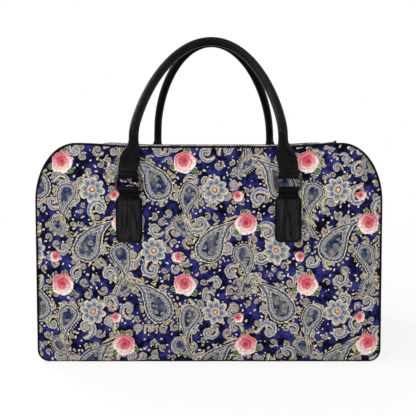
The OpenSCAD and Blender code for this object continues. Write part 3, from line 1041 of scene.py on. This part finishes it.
@dataclass
class Cover:
    """The printed shell of the bag: front and back panel, ends, base and the facings beside the zip."""

    sizes: BagSizes
    cloth: Material
    thread: Material
    pucker: float = 0.55 * MM
    pucker_size: float = 10 * MM
    pucker_in: float = 6 * MM
    pucker_run: float = 8 * MM
    swell: float = 1.1 * MM
    swell_size: float = 95 * MM
    cave: float = 8 * MM
    hem: float = 0.7 * MM
    roll: float = 0.8 * MM
    stitch: float = 4 * MM
    gauge: float = 0.4 * MM
    thread_lift: float = 0.05 * MM
    row_in: float = 3.2 * MM
    facing_edge: float = 9 * MM
    facing_wave: float = 0.3
    facing_run: float = 30 * MM
    tape_gap: float = 0.2 * MM
    tape_over: float = 2 * MM
    hem_w: float = 7 * MM
    furrow_in: float = 7.5 * MM
    furrow_w: float = 1.5 * MM
    roll_w: float = 34 * MM
    roll_run: float = 90 * MM
    floor_gap: float = 0.3 * MM
    base_wave: float = 0.5 * MM
    base_wave_size: float = 60 * MM
    base_room: float = 1.2 * MM
    end_pucker_run: float = 9 * MM
    end_bulge: float = 1.5 * MM
    end_run: float = 60 * MM
    tab_half: float = 19 * MM
    tab_low: float = 150 * MM
    tab_high: float = 264 * MM
    tab_run: float = 24 * MM

    def build(self) -> None:
        """Builds, sews and hands over every piece of the shell."""
        for side, end in ((FRONT, "front"), (BACK, "back")):
            self.panel(side, end)
            self.facing(side, end)
        for side, end in ((-1, "left"), (1, "right")):
            self.end(side, end)
        self.base()

    def calm(self, point: Vector) -> float:
        """Falls to nothing where a tab holds the panel flat, and is one elsewhere.

        Args:
            point: Place on the panel.

        Returns:
            Share of its waves that the cloth keeps there.
        """
        aside = max(0.0, abs(abs(point.x) - self.sizes.tab_x) - self.tab_half)
        above = max(0.0, self.tab_low - point.z, point.z - self.tab_high)
        return smooth(math.hypot(aside, above) / self.tab_run)

    def panel_point(self, side: int, u: float, v: float) -> Vector:
        """Gives a point of the front or back panel, which rounds up from its seam and puckers along it.

        Args:
            side: FRONT or BACK.
            u: Place across the panel, from -1 to 1.
            v: Place up the panel, from -1 to 1.

        Returns:
            The point in the bag's frame.
        """
        s = self.sizes
        x = s.seam_hw * (0.6 * u + 0.4 * math.sin(math.pi * u / 2))
        low, high = s.low_z(x), s.seam_z(x)
        z = low + (high - low) * (1 + 0.55 * v + 0.45 * math.sin(math.pi * v / 2)) / 2
        inset = s.inset(x, z)
        # A place of its own for each panel, so that their waves differ.
        flat = Vector((x, side * 0.4, z))
        t = (inset - s.tuck) / (s.border - s.tuck)
        out = s.seam_y + s.wall / 2
        if t < 0:
            out -= 0.5 * (s.tuck - inset)
        else:
            out += (s.face_y - out) * math.sin(math.pi / 2 * min(1.0, t))
            near = math.exp(-((inset - self.pucker_in) / self.pucker_run) ** 2)
            out += self.pucker * near * ripple(flat, self.pucker_size, 3.0)
            out += self.swell * smooth(t) * self.calm(flat) * ripple(flat, self.swell_size, 8.0)
        return Vector((-side * x, side * out, z))

    def panel(self, side: int, end: str) -> None:
        """Makes one of the two large panels.

        Args:
            side: FRONT or BACK.
            end: Name of that side.
        """
        s = self.sizes
        # Where on the bolt of cloth the panel is cut.
        shift = Vector((0.012, 0.031)) if side == FRONT else Vector((0.431, 0.067))

        def flat(u: float, v: float) -> Vector:
            """Place on the flat cloth."""
            point = self.panel_point(side, u, v)
            return Vector((-side * point.x, point.z)) + shift

        piece = cut_cloth(f"{end}_panel_cover", 150, 96, lambda u, v: self.panel_point(side, u, v), flat,
                          self.cloth)
        settle(piece, push=0.6, cap=1.6 * MM, ease=self.calm)
        thicken(piece, s.wall)
        hand_over(piece, BAG, "printed_cover", f"{end}_panel")

    def end(self, side: int, end: str) -> None:
        """Makes one end: a strip round the foot and over the shoulder that caves in between its seams.

        Args:
            side: -1 for the left end, 1 for the right one.
            end: Name of that side.
        """
        s = self.sizes

        def place(u: float, v: float) -> Vector:
            """Gives a point of the end.

            Args:
                u: Place across the depth, from -1 to 1.
                v: Place up the end, from -1 to 1.

            Returns:
                The point in the bag's frame.
            """
            point, out = s.end_point((v + 1) / 2)
            y = u * s.gusset_y
            # A place of its own for each end, so that their waves differ.
            here = Vector((side * 0.7, y, point.z + point.x))
            inward = self.cave * (1 - u * u) * math.sin(math.pi * smooth((v + 1) / 2)) ** 1.5
            near = math.exp(-((1 - abs(u)) * s.gusset_y / self.end_pucker_run) ** 2)
            inward += self.pucker * near * ripple(here, self.pucker_size, 5.0)
            inward += 2.2 * self.swell * (1 - u * u) * ripple(here, self.swell_size, 2.0 + side)
            inward += self.swell * (1 - u * u) * ripple(here, 0.4 * self.swell_size, 4.0 + side)
            point = point - out * max(-self.end_bulge, inward)
            return Vector((side * point.x, side * y, max(point.z, self.floor_gap)))

        def flat(u: float, v: float) -> Vector:
            """Place on the flat cloth."""
            return Vector((u * s.gusset_y + 0.83 + 0.2 * side, 0.16 * v + 0.3))

        piece = cut_cloth(f"{end}_end_cover", 56, 92, place, flat, self.cloth)
        settle(piece, push=0.2, cap=3 * MM, ease=lambda point: smooth(point.z / self.end_run))
        thicken(piece, s.wall)
        hand_over(piece, BAG, "printed_cover", f"{end}_end_panel")

    def facing_z(self, x: float, y: float) -> float:
        """Gives the height of the facing, which is level beside the zip and falls to the seam.

        Args:
            x: Place along the zip.
            y: Place across it.

        Returns:
            The height there.
        """
        s = self.sizes
        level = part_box("front_zip_tape")[1].z + self.tape_gap + s.wall
        start = -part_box("front_zip_tape")[0].y + self.tape_over
        t = smooth((abs(y) - start) / (s.gusset_y - start))
        return level + (s.seam_z(x) + s.seam_low - level) * t

    def facing(self, side: int, end: str) -> None:
        """Makes the strip between the zip and one seam, with a hem and a row of stitches along the zip.

        Args:
            side: FRONT or BACK.
            end: Name of that side.
        """
        s = self.sizes
        depth = s.gusset_y - self.facing_edge

        def place(u: float, v: float) -> Vector:
            """Gives a point of the facing.

            Args:
                u: Place along the zip, from -1 to 1.
                v: Place across it, from -1 to 1.

            Returns:
                The point in the bag's frame.
            """
            x, y = u * s.zip_x, side * self.facing_edge + side * depth * (1 + side * v) / 2
            gone = abs(y) - self.facing_edge
            z = self.facing_z(x, y) - self.hem + self.hem * (1 - smooth(gone / self.hem_w))
            z -= 0.5 * self.hem * math.exp(-((gone - self.furrow_in) / self.furrow_w) ** 2)
            waves = self.swell * ripple(Vector((x, y, 0)), self.roll_w, 6.0)
            z += waves * smooth(gone / self.facing_run) * self.facing_wave
            rolled = smooth((depth - gone) / self.hem_w) * smooth((gone - depth) / self.roll_w + 1.2)
            z += self.roll * rolled * smooth((s.zip_x - abs(x)) / self.roll_run)
            return Vector((x, y, z))

        def flat(u: float, v: float) -> Vector:
            """Place on the flat cloth."""
            return Vector((u * s.zip_x + 0.07, side * depth * (1 + side * v) / 2 + 0.21))

        piece = cut_cloth(f"{end}_facing_cover", 140, 30, place, flat, self.cloth)
        thicken(piece, s.wall - self.hem)
        hand_over(piece, BAG, "printed_cover", f"{end}_zip_facing")
        row = self.facing_edge + self.row_in
        count = int(2 * s.zip_x / self.stitch)
        line = [Vector((x, side * row, self.facing_z(x, row) + self.thread_lift))
                for x in (s.zip_x * (2 * i / count - 1) for i in range(1, count))]
        shape = bmesh.new()
        sew(shape, line, self.gauge)
        hand_over(make_piece(f"{end}_facing_stitches", shape, self.thread), BAG, "zip_tape")

    def base(self) -> None:
        """Makes the base, which lies flat on what the bag stands on."""
        s = self.sizes
        low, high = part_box("base_panel")

        def place(u: float, v: float) -> Vector:
            """Gives a point of the base.

            Args:
                u: Place along the width, from -1 to 1.
                v: Place across the depth, from -1 to 1.

            Returns:
                The point in the bag's frame.
            """
            waves = ripple(Vector((u * high.x, v * high.y, 0)), self.base_wave_size, 4.0)
            lift = self.floor_gap + self.base_wave * (1 + waves) * (1 - u * u)
            return Vector((u * high.x, -v * high.y, low.z + lift))

        def flat(u: float, v: float) -> Vector:
            """Place on the flat cloth."""
            return Vector((u * high.x + 0.02, v * high.y + 0.5))

        piece = cut_cloth("base_cover", 100, 46, place, flat, self.cloth)
        thicken(piece, s.wall - self.base_room)
        hand_over(piece, BAG, "printed_cover", "base_panel")


@dataclass
class Piping:
    """Cord covered in black leather that is sewn into the seam of a large panel."""

    sizes: BagSizes
    leather: Material
    step: float = 3 * MM
    waver: float = 0.35 * MM
    waver_size: float = 26 * MM
    weld: float = 0.01 * MM

    def build(self) -> None:
        """Builds and hands over the piping of both panels."""
        for side, end in ((FRONT, "front"), (BACK, "back")):
            curve = bpy.data.curves.new(f"{end}_piping_line", "CURVE")
            curve.dimensions = "3D"
            curve.bevel_depth = self.sizes.piping_r
            curve.bevel_resolution = 3
            path = self.sizes.seam_path(self.step)
            spline = curve.splines.new("POLY")
            spline.points.add(len(path) - 1)
            spline.use_cyclic_u = True
            for knot, point in zip(spline.points, path):
                y = side * (self.sizes.seam_y + self.waver * ripple(point, self.waver_size, 9.0 + side))
                knot.co = (point.x, y, point.z, 1.0)
            line = bpy.data.objects.new(f"{end}_piping_line", curve)
            bpy.context.scene.collection.objects.link(line)
            shape = bmesh.new()
            shape.from_mesh(line.evaluated_get(bpy.context.evaluated_depsgraph_get()).to_mesh())
            bpy.data.objects.remove(line)
            bmesh.ops.remove_doubles(shape, verts=shape.verts, dist=self.weld)
            bmesh.ops.recalc_face_normals(shape, faces=shape.faces)
            piece = make_piece(f"{end}_piping_cord", shape, self.leather)
            hand_over(piece, BAG, "black_leather", f"{end}_piping")


@dataclass
class LeatherTab:
    """A leather tab that is sewn on a large panel and folded round the lower bar of its ring."""

    end: str
    hand: str
    leather: Material
    thread: Material
    corner: float = 7 * MM
    rim: float = 1.2 * MM
    crown: float = 0.9 * MM
    pinch: float = 2.1 * MM
    channel: float = 2.6 * MM
    thick: float = 2.6 * MM
    neck: float = 11 * MM
    stitch: float = 3.6 * MM
    gauge: float = 0.42 * MM
    thread_lift: float = 0.15 * MM
    seam_drop: float = 6 * MM
    groove: float = 0.7 * MM
    groove_w: float = 0.8 * MM
    streak: float = 0.38 * MM
    streak_size: float = 3.2 * MM
    # Lengths over which one form of the tab eases into the next
    shoulder_drop: float = 4 * MM
    shoulder_run: float = 9 * MM
    fold_run: float = 6 * MM
    neck_drop: float = 1 * MM
    neck_run: float = 3 * MM
    loop_run: float = 4 * MM
    crown_run: float = 6 * MM
    streak_run: float = 5 * MM
    # Reach of the black that stands for painted shade in the neck under the loop, and for edge paint with
    # painted shade along the rim
    neck_shade_rise: float = 1 * MM
    neck_shade_run: float = 4 * MM
    rim_paint_and_shade_in: float = 3 * MM

    def __post_init__(self) -> None:
        """Takes the tab's and the ring's places from the frame, turned to the front."""
        low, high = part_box(f"{self.end}_{self.hand}_tab")
        ring_low, ring_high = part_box(f"{self.end}_{self.hand}_ring")
        self.side = FRONT if self.end == "front" else BACK
        self.x = (low.x + high.x) / 2
        self.half = (high.x - low.x) / 2
        self.low = low.z
        self.back = min(abs(low.y), abs(high.y))
        wire = (ring_high.y - ring_low.y) / 2
        self.ring_y = abs(ring_low.y + ring_high.y) / 2
        self.ring_z = ring_low.z + wire
        self.bore = wire + RING_PLAY
        self.loop = high.z - self.ring_z
        self.loop_half = (ring_high.x - ring_low.x) / 2 - 2 * wire - LOOP_ROOM

    def half_width(self, z: float) -> float:
        """Gives half the width of the tab, with round corners below and shoulders towards the loop above.

        Args:
            z: Height.

        Returns:
            Half the width there.
        """
        rise = self.low + self.corner - z
        if rise > 0:
            return self.half - self.corner + math.sqrt(max(0.0, self.corner ** 2 - rise ** 2))
        top = smooth((z - (self.ring_z - self.neck - self.shoulder_drop)) / self.shoulder_run)
        return self.half + (self.loop_half - self.half) * top

    def edge(self, x: float, z: float) -> float:
        """Gives the distance of a point of the tab from its outline.

        Args:
            x: Place across the tab, from its middle.
            z: Height.

        Returns:
            The distance, zero on the outline.
        """
        dx, dz = abs(x) - self.half + self.corner, self.low + self.corner - z
        if dx > 0 and dz > 0:
            return self.corner - math.hypot(dx, dz)
        return min(self.half_width(z) - abs(x), z - self.low)

    def surface(self, x: float, z: float) -> float:
        """Gives the distance of the tab's face from the middle of the bag.

        Args:
            x: Place across the tab, from its middle.
            z: Height.

        Returns:
            The distance there.
        """
        edge = max(0.0, self.edge(x, z))
        above = z - self.ring_z
        thick = self.thick + (self.ring_y - self.back - self.thick) * smooth(1.1 + above / self.fold_run)
        necked = smooth((above + self.neck + self.neck_drop) / self.neck_run)
        thick -= self.pinch * necked * smooth(-above / self.loop_run)
        round_off = math.sqrt(1 - (1 - min(1.0, edge / self.rim)) ** 2)
        dip = self.groove * math.exp(-((edge - self.channel) / self.groove_w) ** 2)
        swell = self.crown * smooth((edge - self.channel) / self.crown_run)
        # Creases run up the tab, and the tab's place sets them apart from those of the others.
        crease = ripple(Vector((x, 0, 0.18 * z)), self.streak_size, self.x * 40)
        streak = self.streak * crease * smooth(edge / self.streak_run)
        return self.back + thick * (0.25 + 0.75 * round_off) - dip + swell + streak

    def point(self, x: float, z: float, out: float) -> Vector:
        """Gives a point of the tab in the bag's frame."""
        return Vector((self.x + x, self.side * out, z))

    def build(self) -> None:
        """Builds the tab with its loop and its seam, and hands both over."""
        name = f"{self.end}_{self.hand}_tab"
        tall = self.ring_z - self.low
        shape = bmesh.new()
        rubbed = shape.verts.layers.float.new(WEAR_AND_SHADE)
        bmesh.ops.create_grid(shape, x_segments=56, y_segments=96, size=1.0)
        for vert in shape.verts:
            z = self.low + tall * ((vert.co.y + 1) / 2) ** 1.35
            x = vert.co.x * self.half_width(z)
            # Painted shade: the field falls to zero in the neck under the loop and along the rounded rim,
            # where the leather stays black; along the rim the black is also edge paint
            body = smooth((self.ring_z - self.neck + self.neck_shade_rise - z) / self.neck_shade_run)
            vert[rubbed] = body * smooth((self.edge(x, z) - self.rim) / self.rim_paint_and_shade_in)
            vert.co = self.point(x, z, self.surface(x, z))
        rim = [edge for edge in shape.edges if edge.is_boundary]
        points, foot = grow_rim(shape, rim)
        for vert in points:
            vert.co.y = self.side * self.back
        bmesh.ops.edgeloop_fill(shape, edges=foot)
        centre = Vector((self.x, self.side * self.ring_y, self.ring_z))
        sleeve(shape, centre, 2 * self.loop_half, self.bore, self.loop)
        hand_over(make_piece(f"{name}_leather", shape, self.leather), BAG, "black_leather", name)
        threads = bmesh.new()
        sew(threads, self.seam(), self.gauge)
        hand_over(make_piece(f"{name}_stitches", threads, self.thread), BAG, "black_leather")

    def seam(self) -> list[Vector]:
        """Gives the needle holes of the seam, across below the neck and round by the lower edge.

        Returns:
            The holes in the bag's frame, the first one twice.
        """
        inner = self.half - self.channel
        round_r = self.corner - self.channel
        low, high = self.low + self.channel, self.ring_z - self.neck - self.seam_drop
        path = [(-inner, high), (inner, high), (inner, low + round_r)]
        path += [(inner - round_r * (1 - math.cos(a)), low + round_r * (1 - math.sin(a)))
                 for a in (math.radians(step) for step in (30, 60, 90))]
        path += [(-x, z) for x, z in reversed(path[2:])] + [path[0]]
        holes = []
        for (x0, z0), (x1, z1) in zip(path, path[1:]):
            count = max(1, round(math.hypot(x1 - x0, z1 - z0) / self.stitch))
            holes += [(x0 + (x1 - x0) * i / count, z0 + (z1 - z0) * i / count) for i in range(count)]
        holes.append(path[0])
        return [self.point(x, z, self.surface(x, z) + self.thread_lift) for x, z in holes]


class Section(NamedTuple):
    """Cross-section of a handle: place along X, way up the side view, tilt, half the width and thickness."""

    x: float
    way: float
    tilt: float
    wide: float
    thick: float


@dataclass
class RolledHandle:
    """A leather handle rolled round a cord, which flattens at both ends and folds round its rings."""

    end: str
    leather: Material
    thread: Material
    radius: float = 6.25 * MM
    leg_x: float = 94.5 * MM
    arch_form: float = 1.2
    strap_t: float = 5 * MM
    swell: float = 1.6 * MM
    lean_r: float = 30 * MM
    lean_z: float = 293 * MM
    apex_y: float = 6.75 * MM
    row_z: float = 259.5 * MM
    seam_at: float = math.radians(-52)
    stitch: float = 4 * MM
    gauge: float = 0.4 * MM
    thread_lift: float = 0.5 * MM
    row_gauge: float = 0.42 * MM
    row_gap: float = 2.2 * MM
    row_lift: float = 0.1 * MM
    row_share: float = 0.9
    fold_gap: float = 0.8 * MM
    fold_in: float = 0.4 * MM
    fold_thin: float = 0.3 * MM
    flat_run: float = 6 * MM
    tube_within: float = 1 * MM
    dent: float = 0.12 * MM
    dent_size: float = 7 * MM
    # The lip of the rolled edge and the groove beside it: heights, then widths and place in radians
    lip: float = 0.55 * MM
    groove: float = 0.45 * MM
    lip_w: float = 0.16
    groove_w: float = 0.15
    groove_at: float = 0.34

    def __post_init__(self) -> None:
        """Takes the rings' places from the frame and works out the lean of the handle."""
        ring_low, ring_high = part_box(f"{self.end}_right_ring")
        wire = (ring_high.y - ring_low.y) / 2
        self.side = FRONT if self.end == "front" else BACK
        self.ring_x = (ring_low.x + ring_high.x) / 2
        self.ring_y = abs(ring_low.y + ring_high.y) / 2
        self.ring_top = ring_high.z - wire
        self.bore = wire + RING_PLAY
        self.loop = self.ring_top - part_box(f"{self.end}_handle")[0].z
        self.loop_half = (ring_high.x - ring_low.x) / 2 - 2 * wire - LOOP_ROOM
        apex_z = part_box(f"{self.end}_handle")[1].z - self.radius
        near, rise = self.ring_y - self.lean_r - self.apex_y, apex_z - self.lean_z
        far = math.hypot(near, rise)
        self.lean = math.atan2(near, rise) + math.asin(self.lean_r / far)
        self.arc = self.lean_r * self.lean
        self.arch = self.arc + math.sqrt(far ** 2 - self.lean_r ** 2)
        self.low = self.ring_top + self.bore + self.fold_gap - self.lean_z

    def sections(self) -> list[Section]:
        """Lists the cross-sections of the handle.

        Returns:
            The cross-sections from the left end to the right.
        """
        flare = []
        bulb = self.loop_half - self.fold_in + self.swell / 2
        for i in range(32):
            f = i / 32
            s = self.low * (1 - f)
            x = self.leg_x + (self.ring_x - self.leg_x) * smooth(1 - f)
            wide = self.radius + (bulb - self.radius) * smooth((0.97 - f) / 0.55)
            wide -= self.swell / 2 * smooth(1 - f / 0.24)
            thick = self.radius + (self.strap_t / 2 - self.radius) * smooth((0.72 - f) / 0.5)
            thick += (self.loop - self.fold_thin - self.strap_t / 2) * smooth(1 - f / 0.2)
            flare.append((x, s, wide, thick))
        left = [Section(-x, s, 0.0, wide, thick) for x, s, wide, thick in flare]
        right = [Section(x, s, -math.pi, wide, thick) for x, s, wide, thick in reversed(flare)]
        arch = []
        for i in range(121):
            q = math.pi * i / 120
            rise = abs(math.sin(q))
            climb = self.arch * self.arch_form * rise ** (self.arch_form - 1) * math.cos(q)
            tilt = -math.atan2(self.leg_x * rise, climb)
            way = self.arch * rise ** self.arch_form
            arch.append(Section(-self.leg_x * math.cos(q), way, tilt, self.radius, self.radius))
        return left + arch + right

    def point(self, section: Section, angle: float, lift: float = 0.0) -> Vector:
        """Gives a point of the handle's skin.

        Args:
            section: One of the cross-sections.
            angle: Direction in the section; zero points into the arch.
            lift: Height above the skin.

        Returns:
            The point in the bag's frame.
        """
        x, s, tilt, wide, thick = section
        a = min(max(s, 0.0), self.arc) / self.lean_r
        rest = max(0.0, s - self.arc)
        y = -self.ring_y + self.lean_r * (1 - math.cos(a)) + rest * math.sin(a)
        z = self.lean_z + min(s, 0.0) + self.lean_r * math.sin(a) + rest * math.cos(a)
        flat = smooth((wide - thick) / self.flat_run)
        power = 1 - 0.4 * flat
        c, d = math.cos(angle), math.sin(angle)
        away = math.remainder(angle - self.seam_at, 2 * math.pi)
        lip = self.lip * math.exp(-(away / self.lip_w) ** 2)
        lip -= self.groove * math.exp(-((away - self.groove_at) / self.groove_w) ** 2)
        lip *= 1 - flat
        i = math.copysign(abs(c) ** power, c) * (wide + lip + lift)
        j = math.copysign(abs(d) ** power, d) * (thick + lip + lift)
        here = Vector((x + i * math.cos(tilt),
                       y + i * math.sin(tilt) * math.sin(a) + j * math.cos(a),
                       z + i * math.sin(tilt) * math.cos(a) - j * math.sin(a)))
        here.y -= self.dent * ripple(here, self.dent_size, 2.5)
        return Vector((here.x, -self.side * here.y, here.z))

    def build(self) -> None:
        """Builds the handle with its loops and its stitches, and hands both over."""
        sections = self.sections()
        shape = bmesh.new()
        loft(shape, 56, sections, self.point)
        for x in (-self.ring_x, self.ring_x):
            centre = Vector((x, self.side * self.ring_y, self.ring_top))
            sleeve(shape, centre, 2 * self.loop_half, self.bore, self.loop)
        piece = make_piece(f"{self.end}_handle_leather", shape, self.leather)
        hand_over(piece, f"{self.end}_handle", "black_leather", f"{self.end}_handle")
        threads = bmesh.new()
        beside = self.seam_at + self.groove_at
        row, gone = [], 0.0
        tube = [section for section in sections if section.wide - section.thick < self.tube_within]
        spots = [self.point(section, beside, self.thread_lift) for section in tube]
        for start, end in zip(spots, spots[1:]):
            gone += (end - start).length
            if gone >= self.stitch:
                row.append(end)
                gone = 0.0
        sew(threads, row, self.gauge)
        inside = math.acos(self.row_share)
        for lower in (0.0, self.row_gap):
            for hand in (-1, 1):
                section = min((part for part in sections if part.x * hand > 0),
                              key=lambda part: abs(self.lean_z + part.way - self.row_z + lower))
                angles = [-inside - (math.pi - 2 * inside) * k / 7 for k in range(8)]
                holes = [self.point(section, angle, self.row_lift) for angle in angles]
                sew(threads, holes, self.row_gauge)
        hand_over(make_piece(f"{self.end}_handle_stitches", threads, self.thread), f"{self.end}_handle",
                  "black_leather")


@dataclass
class Zip:
    """The top zip: two woven tapes, the moulded teeth, the end stops, and the slider with its pull."""

    tape: Material
    teeth: Material
    metal: Material
    bevel: float = 0.35 * MM
    weld: float = 0.002 * MM
    wave: float = 0.1 * MM
    wave_size: float = 12 * MM

    def build(self) -> None:
        """Weaves the tapes, dresses the teeth and rounds the metal pieces."""
        for end in ("front", "back"):
            self.weave(end)
            dress(f"{end}_zip_teeth", self.teeth)
        for node, body in (("zip_end_stops", BAG), ("zip_slider", "zip_slider"), ("zip_pull", "zip_pull")):
            hand_over(self.rounded(node), body, "dark_metal", node)

    def weave(self, end: str) -> None:
        """Makes one tape, which waves a little beside the teeth.

        Args:
            end: Side of the teeth that it lies on, front or back.
        """
        low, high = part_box(f"{end}_zip_tape")
        thick = high.z - low.z

        def place(u: float, v: float) -> Vector:
            """Point of the tape at u along the zip and v across it."""
            x, y = u * high.x, (low.y + high.y) / 2 + v * (high.y - low.y) / 2
            return Vector((x, y, high.z - self.wave * (1 + ripple(Vector((x, y, 0)), self.wave_size, 1.0))))

        piece = cut_cloth(f"{end}_zip_tape_weave", 128, 8, place, lambda u, v: Vector((u, v)), self.tape)
        thicken(piece, thick - 2 * self.wave)
        hand_over(piece, BAG, "zip_tape", f"{end}_zip_tape")

    def rounded(self, node: str) -> Object:
        """Makes a copy of a node with its sharp edges rounded, as a casting has them.

        Args:
            node: Name of the node.

        Returns:
            The copy.
        """
        shape = bmesh.new()
        shape.from_mesh(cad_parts[node].data)
        bmesh.ops.remove_doubles(shape, verts=shape.verts, dist=self.weld)
        bmesh.ops.dissolve_limit(shape, angle_limit=math.radians(2), verts=shape.verts, edges=shape.edges)
        sharp = [edge for edge in shape.edges if len(edge.link_faces) == 2
                 and edge.calc_face_angle() > math.radians(40)]
        bmesh.ops.bevel(shape, geom=sharp, offset=self.bevel, offset_type="OFFSET", affect="EDGES",
                        segments=2, profile=0.5, material=-1, clamp_overlap=True)
        piece = make_piece(f"{node}_cast", shape, self.metal)
        piece.data.set_sharp_from_angle(angle=math.radians(35))
        return piece


def dress(node: str, finish: Material) -> None:
    """Gives a node of the frame its finish.

    Args:
        node: Name of the node, which keeps its own form.
        finish: Its material.
    """
    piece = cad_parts[node]
    piece.data.materials.clear()
    piece.data.materials.append(finish)
    LOG.info("%s: dressed in %s", node, finish.name)


@dataclass(frozen=True)
class Lamp:
    """A soft lamp: its place in metres, its power in watts, and its width and height in metres."""

    name: str
    place: tuple[float, float, float]
    power: float
    wide: float
    tall: float


@dataclass(frozen=True)
class Studio:
    """The camera at the photograph's angle, soft lamps, a pale floor and a white surround."""

    eye: tuple[float, float, float] = (0.027, -0.7807, 0.2884)
    look_down: float = 2.5
    lens: float = 45.66
    shift: tuple[float, float] = (-0.0522, -0.1048)
    surround: float = 0.6
    floor_size: float = 8.0
    paleness: float = 0.82
    fade: tuple[float, float] = (0.3, 1.3)
    paper: str = "#f4f4f4"
    floor_drop: float = 0.4 * MM
    aim: tuple[float, float, float] = (0.0, 0.0, 0.2)
    lamps: tuple[Lamp, ...] = (Lamp("key", (-0.9, -1.5, 1.5), 14, 0.6, 0.6),
                               Lamp("fill", (1.4, -1.3, 0.9), 7, 1.0, 1.0),
                               Lamp("top", (-0.6, -0.15, 1.6), 7, 0.35, 0.9),
                               Lamp("strip", (-1.3, 0.9, 1.2), 14, 0.3, 1.3))

    def build(self) -> None:
        """Sets up the camera, the lamps, the floor and the surround."""
        scene = bpy.context.scene
        scene.view_settings.view_transform = "Standard"
        camera = bpy.data.cameras.new("camera")
        camera.lens = self.lens
        camera.sensor_width = 36.0
        camera.shift_x, camera.shift_y = self.shift
        scene.camera = self.put("camera", camera, self.eye)
        scene.camera.rotation_euler = (math.radians(90 - self.look_down), 0, 0)
        for lamp in self.lamps:
            light = bpy.data.lights.new(lamp.name, "AREA")
            light.energy = lamp.power
            light.shape = "RECTANGLE"
            light.size, light.size_y = lamp.wide, lamp.tall
            beam = Vector(self.aim) - Vector(lamp.place)
            stand = self.put(lamp.name, light, lamp.place)
            stand.rotation_euler = beam.to_track_quat("-Z", "Y").to_euler()
        self.floor()
        self.sky()

    def put(self, name: str, data: ID, place: tuple[float, float, float]) -> Object:
        """Adds a camera or a lamp to the scene.

        Args:
            name: Its name.
            data: The camera or the light.
            place: Where it stands.

        Returns:
            The object.
        """
        thing = bpy.data.objects.new(name, data)
        thing.location = place
        bpy.context.scene.collection.objects.link(thing)
        return thing

    def seen(self, tree: NodeTree) -> NodeSocket:
        """Gives one for rays from the camera and for those in gloss or glass, and zero for light.

        Args:
            tree: Node tree of a material or of the world.

        Returns:
            The socket with that value.
        """
        path = add(tree, "LightPath").outputs
        known = {"camera": path["Is Camera Ray"], "gloss": path["Is Glossy Ray"],
                 "glass": path["Is Transmission Ray"]}
        lay(tree, known, """
            shine MAXIMUM gloss glass
            seen MAXIMUM camera shine
        """)
        return known["seen"]

    def floor(self) -> None:
        """Lays a pale paper floor that keeps the bag's shadow and fades to white further off."""
        material, tree = blank("studio_paper")
        matt = add(tree, "BsdfDiffuse", None, {"Color": linear(self.paper)})
        white = add(tree, "Emission", None, {"Strength": 1.0})
        place = add(tree, "TexCoord").outputs["Object"]
        far = add(tree, "VectorMath", {"operation": "LENGTH"}, {0: place})
        near, off = self.fade
        share = add(tree, "MapRange", None, {"Value": far.outputs["Value"], "From Min": near, "From Max": off,
                                             "To Min": self.paleness, "To Max": 1.0})
        known = {"seen": self.seen(tree), "share": share.outputs[0]}
        lay(tree, known, "white MULTIPLY seen share")
        mixed = add(tree, "MixShader", None, {0: known["white"], 1: matt.outputs[0], 2: white.outputs[0]})
        add(tree, "OutputMaterial", None, {"Surface": mixed.outputs[0]})
        shape = bmesh.new()
        bmesh.ops.create_grid(shape, x_segments=1, y_segments=1, size=self.floor_size,
                              matrix=Matrix.Translation((0, 0, -self.floor_drop)))
        make_piece("floor", shape, material)

    def sky(self) -> None:
        """Surrounds the scene with soft white light, and with plain white where the camera looks."""
        world = bpy.data.worlds.new("surround")
        world.use_nodes = True
        tree = world.node_tree
        tree.nodes.clear()
        soft = add(tree, "Background", None, {"Color": linear("#ffffff"), "Strength": self.surround})
        white = add(tree, "Background", None, {"Color": linear("#ffffff"), "Strength": 1.0})
        mixed = add(tree, "MixShader", None, {0: self.seen(tree), 1: soft.outputs[0], 2: white.outputs[0]})
        add(tree, "OutputWorld", None, {"Surface": mixed.outputs[0]})
        bpy.context.scene.world = world


def main() -> None:
    """Builds the studio and every sub-assembly of the bag."""
    logging.basicConfig(level=logging.INFO, format="%(name)s %(message)s")
    sizes = BagSizes.from_frame()
    Studio().build()
    metal, thread = ANTIQUE_METAL.material(), THREAD.material()
    smooth_leather = BlackLeather("rolled_black_leather", crease=(7.0, 7.0, 7.0), emboss=0.1).material()
    # The tab's leather is kept black as painted shade in its neck, and as edge paint with painted shade along
    # its rim
    tab_leather = BlackLeather("creased_black_leather", crease=(2.2, 2.2, 22.0), worn="#2a2a2c",
                               rubbed=WEAR_AND_SHADE).material()
    Cover(sizes, PrintedCloth().material(), thread).build()
    Piping(sizes, smooth_leather).build()
    for end in ("front", "back"):
        for hand in ("left", "right"):
            LeatherTab(end, hand, tab_leather, thread).build()
            dress(f"{end}_{hand}_ring", metal)
        RolledHandle(end, smooth_leather, thread).build()
    Zip(WOVEN_TAPE.material(), MOULDED_NYLON.material(), metal).build()
    dress("base_board", BOARD_SHEET.material())


if __name__ == "__main__":
    main()
